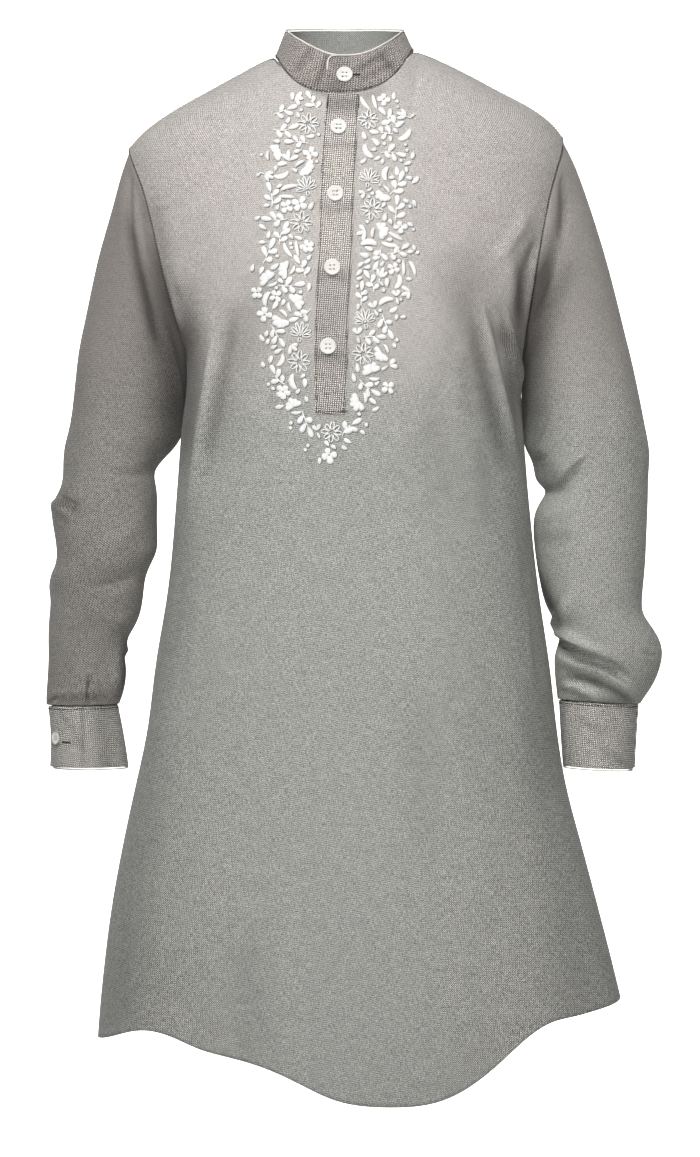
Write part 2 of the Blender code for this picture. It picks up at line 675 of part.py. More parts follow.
def sleeve(side, cuts, folds):
    """A sleeve, lofted from the armhole to the cuff."""
    count = 2 * PANEL_ROWS_UPPER
    turns = [360.0 * k / count for k in range(count)]
    sign = 1 if side == "left" else -1
    backs = [fold._replace(x1=fold.x1 * sign, x2=fold.x2 * sign, bow=fold.bow * sign)
             for fold in SLEEVE_BACK_FOLDS]
    base = np.zeros((SLEEVE_RINGS + 1, count, 3))
    for i in range(SLEEVE_RINGS + 1):
        place = (len(cuts) - 1) * i / SLEEVE_RINGS
        fade = max(1 - i / (HEAD_SHARE * SLEEVE_RINGS), 0) ** 2
        for j, turn in enumerate(turns):
            change = armhole_point(side, turn) - cut_point(cuts, 0, turn)
            base[i, j] = cut_point(cuts, place, turn) + change * fade
    normals = grid_normals(base, tube=True) * sign
    outer = base.copy()
    for i in range(1, SLEEVE_RINGS):
        ends = min(i / 2, (SLEEVE_RINGS - i) / 1.5, 1)
        for j, turn in enumerate(turns):
            s = math.sin(math.radians(turn))
            lift = fold_height(folds if s >= 0 else backs, base[i, j, 0], base[i, j, 2])
            edge = min(abs(s) * 2.5 + (0.35 if s >= 0 else 0), 1)
            outer[i, j] += normals[i, j] * lift * ends * edge
    normals = grid_normals(outer, tube=True) * sign
    inner = outer - normals * CLOTH
    for j, turn in enumerate(turns):
        point, apart, out = armhole_seam(side, turn)
        outer[0, j] = point - apart
        inner[0, j] = outer[0, j] - out * CLOTH
    return wall("sleeve_" + side, outer, inner, GREY_CLOTH, tube=True)


def cuff_place(cuts, row, turn, lift):
    """A point of a cuff by its share of the cuff's height and its turn, and the way out."""
    point = cut_point(cuts, row * (len(cuts) - 1), turn)
    middle = (cut_point(cuts, row * (len(cuts) - 1), 0)
              + cut_point(cuts, row * (len(cuts) - 1), 180)) / 2
    out = unit((point - middle) * np.array([1.0, 1.0, 0.0]))
    return point + out * lift, out


def cuff(side, cuts):
    """A cuff: a band whose outer end laps over the inner one at the sleeve's outer edge."""
    sign = 1 if side == "right" else -1
    end = CUFF_END_TURN[side]
    turns = [end + sign * (360 + CUFF_LAP) * (1 - k / CUFF_COLUMNS)
             for k in range(CUFF_COLUMNS + 1)]
    outer = np.zeros((CUFF_ROWS, CUFF_COLUMNS + 1, 3))
    inner = np.zeros_like(outer)
    for i in range(CUFF_ROWS):
        for k, turn in enumerate(turns):
            past = CUFF_LAP + LAP_EASE - abs(turn - end)
            lift = (BAND + LAP) * min(max(past / LAP_EASE, 0), 1)
            point, out = cuff_place(cuts, i / (CUFF_ROWS - 1), turn, lift)
            point = point - np.array([0, 0, SEAM if i == 0 else 0])
            outer[i, k], inner[i, k] = point, point - out * BAND
    return wall("cuff_" + side, outer, inner, GREY_CLOTH)


# ---- Collar -----------------------------------------------------------------------------------


def collar_turns():
    """Turns along the collar band, from the end beneath to the end that laps over it."""
    front = np.linspace(-NECK_SEAM_TURN, NECK_SEAM_TURN, PANEL_COLUMNS_NECK + 1)
    back = np.linspace(NECK_SEAM_TURN, 360 - NECK_SEAM_TURN, PANEL_COLUMNS_NECK + 1)
    under = [turn for turn in front if turn <= COLLAR_LAP_TURN + 0.1]
    over = [turn for turn in front if turn >= -COLLAR_LAP_TURN - 0.1]
    lapped = over[:1] + [over[0] + step for step in COLLAR_END_STEPS] + over[1:]
    round_the_back = [turn - 360 for turn in back[1:-1][::-1]]
    return under[::-1] + round_the_back + [turn - 360 for turn in lapped[::-1]]


def collar_place(turn, share, lift=0.0):
    """A point of the collar's outside: share 0 is its seam and 1 its top edge."""
    base = neck_point(turn) + np.array([0, 0, SEAM])
    turn = (turn + 180) % 360 - 180
    side = NECK_SIDE["left"] if turn > 0 else -NECK_SIDE["right"]
    top = np.array([along(NECK, column, abs(turn)) for column in ("top_x", "top_y", "top_z")])
    top[0] *= side
    out = unit(np.array([top[0], top[1] * COLLAR_LEAN, 0.0]))
    return base + (top - base) * share + out * lift, out


def collar_lift(turn):
    """The end beneath lies inside the rest of the band."""
    past = turn + COLLAR_LAP_TURN + COLLAR_EASE
    return -(BAND + LAP) * min(max(past / COLLAR_EASE, 0), 1)


def collar():
    turns = collar_turns()
    outer = np.zeros((COLLAR_ROWS, len(turns), 3))
    inner = np.zeros_like(outer)
    corner = {len(turns) - 1 - k: cut for k, cut in enumerate(COLLAR_CORNER)}
    for i in range(COLLAR_ROWS):
        for k, turn in enumerate(turns):
            share = i / (COLLAR_ROWS - 1) * (1 - corner.get(k, 0) / COLLAR_HEIGHT)
            point, out = collar_place(turn, share, collar_lift(turn))
            outer[i, k], inner[i, k] = point, point - out * BAND
    return wall("collar", outer, inner, COLLAR_CLOTH)


# ---- Placket, piping and buttons --------------------------------------------------------------


def placket():
    outer = np.zeros((PLACKET_ROWS + 1, PLACKET_COLUMNS + 1, 3))
    inner = np.zeros_like(outer)
    low, high = PLACKET[0].z, PLACKET[-1].z
    for i in range(PLACKET_ROWS + 1):
        z = low + (high - low) * i / PLACKET_ROWS
        middle, width = along(PLACKET, "middle", z), along(PLACKET, "width", z)
        for j in range(PLACKET_COLUMNS + 1):
            x = middle + width * (j / PLACKET_COLUMNS - 0.5)
            under, normal = body_place(front_turn(x, z), z, LAP)
            outer[i, j], inner[i, j] = under + normal * STRIP, under
    return wall("placket", outer, inner, COLLAR_CLOTH)


def cord(name, points, closed=False):
    """Piping: a filled cord along a line of points."""
    curve = bpy.data.curves.new(name, "CURVE")
    curve.dimensions = "3D"
    curve.bevel_depth = CORD * MM
    curve.bevel_resolution = 1
    curve.use_fill_caps = not closed
    line = curve.splines.new("POLY")
    line.points.add(len(points) - 1)
    for spot, point in zip(line.points, points):
        spot.co = (*(np.array(point) * MM), 1.0)
    line.use_cyclic_u = closed
    piece = bpy.data.objects.new(name, curve)
    curve.materials.append(finish_material(name + "_cord", CREAM_CORD))
    garment.objects.link(piece)
    return piece


def collar_piping():
    """Along the collar's top edge, round the corner of its upper end and part way down it."""
    above = CORD + SEAM
    points = []
    for turn in collar_turns():
        if turn < -COLLAR_LAP_TURN - 360 + PIPING_CORNER:
            continue
        point, out = collar_place(turn, 1.0, collar_lift(turn))
        points.append(point - out * BAND / 2 + np.array([0, 0, above]))
    end = -COLLAR_LAP_TURN - 360
    for past, share, raised, aside in PIPING_END:
        point, out = collar_place(end + past, share, 0.0)
        points.append(point - out * BAND / 2 + np.array([-CORD * aside, 0, above * raised]))
    return cord("piping_collar", points)


def cuff_piping(side, cuts):
    """A ring just below the cuff's lower edge."""
    points = []
    for k in range(CUFF_COLUMNS):
        point, out = cuff_place(cuts, 1.0, 360 * k / CUFF_COLUMNS, 0)
        points.append(point - out * BAND / 2 - np.array([0, 0, CORD + SEAM]))
    return cord("piping_cuff_" + side, points, closed=True)


def button(name, place, normal, radius):
    """A turned button with a raised rim. Its back lies just over the cloth at a place."""
    mesh = bpy.data.meshes.new(name)
    points = [(r * radius * MM, 0.0, h * BUTTON_THICKNESS * MM) for r, h in BUTTON_PROFILE]
    mesh.from_pydata(points, [(k, k + 1) for k in range(len(points) - 1)], [])
    piece = bpy.data.objects.new(name, mesh)
    mesh.materials.append(finish_material(name + "_resin", WHITE_RESIN))
    garment.objects.link(piece)
    turned = piece.modifiers.new("turned", "SCREW")
    turned.steps = turned.render_steps = 16
    turned.use_merge_vertices = True
    turned.merge_threshold = 0.00001
    z_axis = unit(np.array(normal))
    x_axis = unit(np.cross([0, 0, 1], z_axis))
    y_axis = np.cross(z_axis, x_axis)
    spot = (place + z_axis * LAP) * MM
    place = np.eye(4)
    place[:3, 0], place[:3, 1], place[:3, 2], place[:3, 3] = x_axis, y_axis, z_axis, spot
    piece.matrix_world = Matrix(place.tolist())
    return piece


def buttons():
    for spot in PLACKET_BUTTONS:
        place, normal = body_place(front_turn(spot.x, spot.z), spot.z, LAP + STRIP)
        button(spot.name, place, normal, BUTTON_RADIUS)
    turn = COLLAR_BUTTON.x
    low = collar_place(turn, 0.0)[0]
    high = collar_place(turn, 1.0)[0]
    share = (COLLAR_BUTTON.z - low[2]) / (high[2] - low[2])
    across = np.cross(high - low, [1.0, 0.0, 0.0])
    button(COLLAR_BUTTON.name, low + (high - low) * share, across * np.sign(-across[1]),
           BUTTON_RADIUS)
    for side, cuts in (("right", CUFF_RIGHT), ("left", CUFF_LEFT)):
        place, out = cuff_place(cuts, 0.5, CUFF_BUTTON_TURN[side], BAND + LAP)
        button("button_cuff_" + side, place, out, CUFF_BUTTON_RADIUS)


for old in list(bpy.data.objects):
    bpy.data.objects.remove(old)
garment = bpy.data.collections.new("kurta_tunic")
bpy.context.scene.collection.children.link(garment)

panel("front", "front")
panel("back", "back")
sleeve("right", SLEEVE_RIGHT, SLEEVE_RIGHT_FOLDS)
sleeve("left", SLEEVE_LEFT, SLEEVE_LEFT_FOLDS)
cuff("right", CUFF_RIGHT)
cuff("left", CUFF_LEFT)
collar()
placket()
collar_piping()
cuff_piping("right", CUFF_RIGHT)
cuff_piping("left", CUFF_LEFT)
buttons()
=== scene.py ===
"""A kurta tunic in its worn form: grey woven cotton with white floral embroidery.

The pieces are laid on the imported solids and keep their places. Lengths are in metres, apart from
the tables of creases and motifs, which are in millimetres across (x) and up (z) as seen from the
front.
"""

import math
from collections import namedtuple

import bmesh
import bpy
import numpy as np
from mathutils import Matrix, Vector, kdtree
from mathutils.bvhtree import BVHTree


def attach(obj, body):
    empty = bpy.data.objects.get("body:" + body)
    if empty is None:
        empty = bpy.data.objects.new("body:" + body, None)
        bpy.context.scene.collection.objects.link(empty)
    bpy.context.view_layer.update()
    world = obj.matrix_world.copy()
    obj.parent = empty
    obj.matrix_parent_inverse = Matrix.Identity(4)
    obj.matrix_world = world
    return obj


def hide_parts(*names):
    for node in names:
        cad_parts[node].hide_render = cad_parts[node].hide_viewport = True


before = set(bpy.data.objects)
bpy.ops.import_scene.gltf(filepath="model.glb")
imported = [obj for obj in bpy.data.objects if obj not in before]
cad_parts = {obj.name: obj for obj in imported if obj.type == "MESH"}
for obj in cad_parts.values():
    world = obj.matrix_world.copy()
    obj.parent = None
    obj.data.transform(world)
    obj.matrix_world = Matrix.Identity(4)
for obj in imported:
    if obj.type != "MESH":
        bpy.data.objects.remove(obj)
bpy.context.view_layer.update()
MM = 0.001


# ---- Camera ----
# A long lens at the middle of the garment's height, level and square to its front.
CAMERA_PLACE = (0.0029, -2.6, -0.4907)
CAMERA_LENS = 83.84


def add_object(name, data):
    """A new object in the scene that holds some data."""
    made = bpy.data.objects.new(name, data)
    bpy.context.scene.collection.objects.link(made)
    return made


camera_data = bpy.data.cameras.new("camera")
camera_data.lens = CAMERA_LENS
camera_data.sensor_width = 36.0
camera = add_object("camera", camera_data)
camera.location = CAMERA_PLACE
camera.rotation_euler = (math.radians(90), 0, 0)
bpy.context.scene.camera = camera


# ---- Floor and studio light ----
# One pale sheet that runs from the floor up far behind the garment. It is lit through from its
# back, and throws no light on the garment. Soft boxes light that: a key above the front, a tall
# strip with a grid that keeps its light to the middle of the garment, and a weak one from the top.
FLOOR_HEIGHT, FLOOR_HALF_WIDTH = -1.22, 14.0
CURVE_START, CURVE_RADIUS, WALL_TOP = 7.0, 2.0, 9.0
BACKDROP, BACKDROP_GLOW = "#fbfaf8", 2.4
ROOM, ROOM_LIGHT = "#f4f5f6", 0.13
# Each lamp's name, place, aim, width, height, spread in degrees, and power in watts.
LAMPS = (
    ("key", (-0.5, -2.3, 2.0), (0.0, 0.0, -0.3), 0.5, 0.5, 60, 7.0),
    ("strip", (0.0, -2.75, -0.45), (0.0, 0.0, -0.45), 0.25, 1.7, 26, 2.0),
    ("top", (0.0, 0.5, 1.9), (0.0, 0.0, -0.3), 1.0, 1.0, 180, 4.0),
)


def linear(hex_colour):
    """The linear colour of an sRGB hex value."""
    values = [int(hex_colour[i:i + 2], 16) / 255 for i in (1, 3, 5)]
    return tuple(v / 12.92 if v <= 0.04045 else ((v + 0.055) / 1.055) ** 2.4 for v in values) + (1,)


def add_node(tree, kind, out, settings=None, links=None):
    """Adds a shader node with its settings, socket values and links, and gives one output."""
    node = tree.nodes.new("ShaderNode" + kind)
    for key, value in (settings or {}).items():
        if isinstance(key, str) and hasattr(node, key):
            setattr(node, key, value)
        else:
            node.inputs[key].default_value = value
    for key, source in (links or {}).items():
        tree.links.new(source, node.inputs[key])
    return node.outputs[out]


def new_material(name, values):
    """A material and its shader with some values. It is named for the real material."""
    material = bpy.data.materials.new(name)
    material.use_nodes = True
    shader = material.node_tree.nodes["Principled BSDF"]
    for key, value in values.items():
        shader.inputs[key].default_value = value
    return material, shader


def piece_from(work, name):
    """Makes a piece from a bmesh, which is freed."""
    mesh = bpy.data.meshes.new(name)
    work.to_mesh(mesh)
    work.free()
    return add_object(name, mesh)


# Heavy white paper, matte, lit through from its back.
paper = new_material("matte_backdrop_paper", {
    "Base Color": linear(BACKDROP), "Roughness": 0.9, "Emission Color": linear(BACKDROP),
    "Emission Strength": BACKDROP_GLOW})[0]
work = bmesh.new()
sweep = [(-FLOOR_HALF_WIDTH, FLOOR_HEIGHT), (CURVE_START, FLOOR_HEIGHT)]
sweep += [(CURVE_START + CURVE_RADIUS * math.sin(a),
           FLOOR_HEIGHT + CURVE_RADIUS - CURVE_RADIUS * math.cos(a))
          for a in np.linspace(0.1, math.pi / 2, 12)]
sweep += [(CURVE_START + CURVE_RADIUS, WALL_TOP)]
line = [work.verts.new((-FLOOR_HALF_WIDTH, y, z)) for y, z in sweep]
edges = [work.edges.new(pair) for pair in zip(line, line[1:])]
pulled = bmesh.ops.extrude_edge_only(work, edges=edges)
bmesh.ops.translate(work, vec=(2 * FLOOR_HALF_WIDTH, 0, 0),
                    verts=[v for v in pulled["geom"] if isinstance(v, bmesh.types.BMVert)])
floor = piece_from(work, "floor")
floor.data.materials.append(paper)
floor.data.shade_smooth()
floor.visible_diffuse = False

for name, place, aim, width, height, spread, power in LAMPS:
    light = bpy.data.lights.new(name, "AREA")
    light.energy, light.shape = power, "RECTANGLE"
    light.size, light.size_y, light.spread = width, height, math.radians(spread)
    soft_box = add_object(name, light)
    soft_box.location = place
    soft_box.rotation_euler = (Vector(aim) - Vector(place)).to_track_quat("-Z", "Y").to_euler()

world = bpy.data.worlds.new("studio")
bpy.context.scene.world = world
world.use_nodes = True
room = world.node_tree.nodes["Background"]
room.inputs["Color"].default_value = linear(ROOM)
room.inputs["Strength"].default_value = ROOM_LIGHT
bpy.context.scene.view_settings.view_transform = "Standard"


# ---- Front and back panels ----
# Plain-woven grey cotton, cut in one length from the shoulder to the curved hem. Creases hang
# from the armholes, and the skirt is nearly smooth. A row is one crease: its height, its width on
# the wearer's left or upper side and on the other, then x and z of its points, down or rightwards.
CLOTH_WALL = 1.5 * MM
SLIT_TOP, SEAM_FADE = -0.79, 0.011
WELD = 0.02 * MM
# The most painted highlight and the most painted shade a point takes, and how far the painted shade
# wraps round the sides.
MOST_LIGHT, MOST_SHADE, PAINTED_SHADE_WRAP = -0.25, 0.78, 0.8
# The share of its length over which a crease rises from nothing at each end.
CREASE_END = 0.3
FRONT_CREASES = (
    (6.1, 11, 3.5, -125, -250, -130, -307, -137, -345, -142, -383, -148, -412, -151, -446),
    (5.2, 9, 2.5, -170, -190, -167, -215, -162, -245, -157, -268),
    (-5.1, 5, 5, -172, -200, -169, -225, -163, -252, -158, -275),
    (7.0, 3.5, 12, 124, -226, 134, -275, 144, -317, 154, -354, 164, -390),
    (5.5, 2.8, 7, 147, -232, 151, -250, 157, -268, 163, -290, 167, -320),
    (-4.3, 7, 7, 137, -250, 148, -290, 158, -330, 166, -360),
    (2.4, 5, 8, 150, -182, 154, -198, 158, -216, 162, -240),
    (-4.0, 8, 7, 186, -160, 176, -186, 169, -205, 166, -225, 165, -262),
    (3.2, 6, 6, 171, -140, 164, -160, 150, -182, 132, -200),
    (-2.3, 16, 16, -160, -180, -128, -236, -96, -300, -84, -372),
    (-2.3, 18, 16, 150, -190, 112, -252, 92, -322, 88, -390),
    (2.0, 20, 14, -108, -470, -118, -600, -140, -780, -152, -900),
    (-2.3, 16, 20, 120, -470, 138, -620, 164, -780, 176, -880),
    (2.6, 15, 15, -62, -760, -60, -860, -57, -960),
    (2.6, 15, 15, 104, -740, 108, -850, 112, -960),
    (-1.4, 9, 9, -84, -350, -60, -372, -40, -384),
    (1.3, 7, 7, -100, -330, -72, -352, -46, -362),
    (1.6, 7, 9, 36, -372, 64, -352, 96, -330),
    (1.2, 4, 5, 152, -420, 160, -470, 163, -520),
    (-1.3, 3, 4, -152, -470, -160, -520, -164, -566),
    (1.3, 3, 5, 168, -500, 172, -560, 178, -610),
    (1.0, 5, 5, -78, -62, -96, -74, -118, -84),
    (-1.2, 5, 5, 72, -66, 94, -82, 120, -96),
)
BACK_CREASES = (
    (5.5, 9, 4, -134, -236, -140, -290, -150, -350, -156, -410),
    (5.2, 4, 9, 134, -230, 142, -285, 152, -345, 160, -400),
    (-3.4, 9, 9, -160, -180, -124, -232, -76, -270),
    (-3.4, 9, 9, 160, -180, 120, -228, 66, -262),
    (3.1, 8, 12, -138, -420, -60, -452, 20, -462, 110, -444),
    (-2.6, 9, 9, -120, -470, -30, -496, 70, -498, 140, -474),
    (2.3, 9, 12, -92, -528, 0, -546, 96, -536),
    (2.1, 18, 16, -46, -90, -52, -180, -48, -300),
    (-1.8, 16, 16, 54, -80, 60, -190, 52, -310),
    (3.1, 16, 18, -96, -600, -112, -740, -136, -920),
    (2.9, 16, 14, 30, -640, 36, -800, 40, -950),
    (-2.6, 16, 16, 96, -600, 122, -760, 150, -910),
)
# Painted shade in the hollows between the folds and under the arms: the cloth's colour is darkened
# there. Here height is the share of its colour that the painted shade takes away, and it is less
# than nothing on a sharp ridge, where it is a painted highlight.
FRONT_PAINTED_SHADE = (
    (0.54, 14, 11, -158, -190, -151, -232, -149, -280, -151, -330, -158, -410),
    (0.32, 7, 9, -98, -216, -106, -256, -115, -300, -124, -350, -132, -410),
    (0.2, 18, 16, -60, -190, -82, -232, -97, -268, -107, -305, -114, -350, -120, -400),
    (0.3, 5, 5, -172, -192, -166, -204, -160, -220, -154, -236),
    (0.24, 8, 8, -186, -122, -178, -150, -172, -180, -165, -210),
    (0.33, 10, 7, 108, -220, 118, -270, 129, -316, 140, -356, 152, -410),
    (0.09, 24, 22, 56, -300, 74, -350, 82, -400, 86, -450),
    (0.27, 22, 16, 74, -170, 96, -215, 112, -252, 124, -300, 134, -350, 144, -410),
    (0.4, 7, 5, 138, -216, 148, -266, 155, -312, 164, -380),
    (0.14, 22, 16, 92, -176, 114, -200, 128, -232, 138, -276),
    (0.5, 7, 7, 160, -176, 161, -224, 162, -264, 165, -330),
    (0.26, 9, 9, 176, -150, 170, -190, 165, -230, 162, -270),
    (-0.16, 2.5, 5, 124, -222, 134, -275, 144, -317, 156, -360, 168, -400),
    (-0.14, 4, 2.5, -125, -246, -131, -307, -139, -360, -148, -412),
    (0.18, 8, 8, 104, -270, 109, -310, 113, -352),
    (0.15, 9, 9, 122, -350, 127, -400, 132, -460),
    (0.18, 20, 20, 150, -360, 160, -430, 168, -520, 178, -620, 190, -740),
    (0.14, 24, 24, 166, -560, 182, -680, 202, -800, 222, -900, 232, -960),
    (0.1, 20, 20, -150, -400, -158, -500, -168, -620),
    (0.14, 24, 24, -166, -600, -184, -720, -202, -840, -220, -960),
    (0.12, 16, 16, -92, -800, -90, -880, -80, -960),
    (0.07, 40, 40, -150, -820, -190, -870, -215, -930),
    (0.08, 18, 18, 60, -560, 66, -660, 74, -780),
    (0.3, 5, 5, -44, -24, -24, -38, 0, -44, 24, -40, 46, -26),
)
BACK_PAINTED_SHADE = (
    (0.34, 10, 10, -150, -220, -154, -290, -160, -370),
    (0.34, 10, 10, 150, -216, 156, -290, 162, -370),
    (0.2, 10, 10, -120, -236, -126, -310, -136, -390),
    (0.2, 10, 10, 118, -230, 126, -300, 138, -384),
    (0.14, 12, 12, -130, -470, -30, -482, 70, -484, 150, -466),
    (0.16, 24, 24, -150, -520, -180, -720, -214, -930),
    (0.16, 24, 24, 156, -520, 188, -720, 222, -930),
)
YARN_PITCH, TWILL_PITCH, TWILL_TURN = 2.2 * MM, 2.7 * MM, 50.0
# Heights between which the cloth's colour goes from its painted-shade colour below to its
# painted-light colour above.
SHADED_BELOW, LIT_ABOVE = -0.33, -0.17


def crease_lift(creases, x, z):
    """How far a table of creases lifts the cloth at places in millimetres."""
    total = np.zeros(len(x))
    for height, near, far, *line in creases:
        points = np.array(line, float).reshape(-1, 2)
        runs = np.diff(points, axis=0)
        lengths = np.linalg.norm(runs, axis=1)
        starts = np.concatenate([[0], np.cumsum(lengths)])
        best = np.full(len(x), 1e9)
        side, share = np.zeros(len(x)), np.zeros(len(x))
        for point, run, length, start in zip(points, runs, lengths, starts):
            off_x, off_z = x - point[0], z - point[1]
            part = np.clip((off_x * run[0] + off_z * run[1]) / length**2, 0, 1)
            away = np.hypot(off_x - run[0] * part, off_z - run[1] * part)
            closer = away < best
            best = np.where(closer, away, best)
            side = np.where(closer, run[0] * off_z - run[1] * off_x, side)
            share = np.where(closer, (start + part * length) / starts[-1], share)
        width = np.where(side > 0, near, far)
        fade = np.clip(share / CREASE_END, 0, 1) * np.clip((1 - share) / CREASE_END, 0, 1)
        fade = fade * fade * (3 - 2 * fade)
        total += height * fade * np.exp(-((best / width) ** 2))
    return total * MM


def outside_of(node, wall):
    """A bmesh of the outside of a cloth node, in quads, without its edges and its lining side."""
    work = bmesh.new()
    work.from_mesh(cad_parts[node].data)
    bmesh.ops.remove_doubles(work, verts=work.verts, dist=WELD)
    rims = {f for e in work.edges if e.calc_length() < wall * 1.12 for f in e.link_faces}
    bmesh.ops.delete(work, geom=list(rims), context="FACES")
    islands, left = [], set(work.faces)
    while left:
        grown, island = [left.pop()], []
        while grown:
            face = grown.pop()
            island.append(face)
            near = {f for e in face.edges for f in e.link_faces} & left
            left -= near
            grown += near
        islands.append(island)
    islands.sort(key=len)

    def facing(island):
        middle = sum((f.calc_center_median() for f in island), Vector()) / len(island)
        return sum(f.calc_area() * f.normal.dot(f.calc_center_median() - middle) for f in island)

    outer = max(islands[-2:], key=facing)
    keep = set(outer)
    bmesh.ops.delete(work, geom=[f for f in work.faces if f not in keep], context="FACES")
    bmesh.ops.join_triangles(work, faces=work.faces, angle_face_threshold=math.pi,
                             angle_shape_threshold=math.pi)
    return work


def apply_modifiers(piece):
    """Gives a piece the mesh that its modifiers make."""
    bpy.context.view_layer.update()
    graph = bpy.context.evaluated_depsgraph_get()
    piece.data = bpy.data.meshes.new_from_object(piece.evaluated_get(graph))
    piece.modifiers.clear()


def fine_piece(name, work, levels):
    """A subdivided piece from a bmesh."""
    piece = piece_from(work, name)
    finer = piece.modifiers.new("finer", "SUBSURF")
    finer.levels = finer.render_levels = levels
    finer.boundary_smooth = "PRESERVE_CORNERS"
    apply_modifiers(piece)
    piece.data.shade_smooth()
    return piece


def points_of(piece):
    """The places and the normals of a piece's points."""
    points = piece.data.vertices
    return np.array([v.co for v in points]), np.array([v.normal for v in points])


def move_points(piece, places):
    """Moves a piece's points to new places."""
    piece.data.vertices.foreach_set("co", places.ravel())
    piece.data.update()


def wrap_map(mesh, top, foot):
    """A UV map in metres: round an axis from top to foot, each (x, y, z, radius), and up it."""
    layer = mesh.uv_layers.new(name="cut")
    for face in mesh.polygons:
        first = None
        for i in face.loop_indices:
            place = mesh.vertices[mesh.loops[i].vertex_index].co
            share = (place.z - top[2]) / (foot[2] - top[2])
            x, y, _, radius = [a + (b - a) * share for a, b in zip(top, foot)]
            turn = math.atan2(place.x - x, y - place.y)
            first = turn if first is None else first
            turn -= round((turn - first) / (2 * math.pi)) * 2 * math.pi
            layer.data[i].uv = (turn * radius, place.z)


def seam_fade(piece, low_edge_free):
    """Which share of its creases each point has: none at a seam. A low edge is free of that."""
    work = bmesh.new()
    work.from_mesh(piece.data)
    rims = [v.co.copy() for v in work.verts if v.is_boundary and v.co.z > low_edge_free]
    work.free()
    tree = kdtree.KDTree(len(rims))
    for i, rim in enumerate(rims):
        tree.insert(rim, i)
    tree.balance()
    away = np.array([tree.find(v.co)[2] for v in piece.data.vertices])
    fade = np.clip(away / SEAM_FADE, 0, 1)
    return fade * fade * (3 - 2 * fade)


def press_creases(piece, tables, wrap=0.3, fade=1.0):
    """Moves the cloth out by its creases: each table for the side that faces its way along y."""
    places, normals = points_of(piece)
    for facing, creases in tables:
        share = np.clip(normals[:, 1] * facing * 3 + wrap, 0, 1)
        lift = crease_lift(creases, places[:, 0] / MM, places[:, 2] / MM)
        places += normals * (lift * share * fade)[:, None]
    move_points(piece, places)


def paint_shade_in_hollows(piece, tables):
    """Marks each point's painted shade in fold hollows and painted highlight on ridges."""
    places, normals = points_of(piece)
    places /= MM
    depth = np.zeros(len(places))
    for facing, hollows in tables:
        share = np.clip(normals[:, 1] * facing * 3 + PAINTED_SHADE_WRAP, 0, 1)
        depth += share * crease_lift(hollows, places[:, 0], places[:, 2]) / MM
    mark = piece.data.attributes.new("hollow", "FLOAT", "POINT")
    mark.data.foreach_set("value", np.clip(depth, MOST_LIGHT, MOST_SHADE))


def thicken(piece, wall):
    """Gives the sheet its thickness, inwards."""
    solid = piece.modifiers.new("thickness", "SOLIDIFY")
    solid.thickness = wall
    solid.offset = -1.0


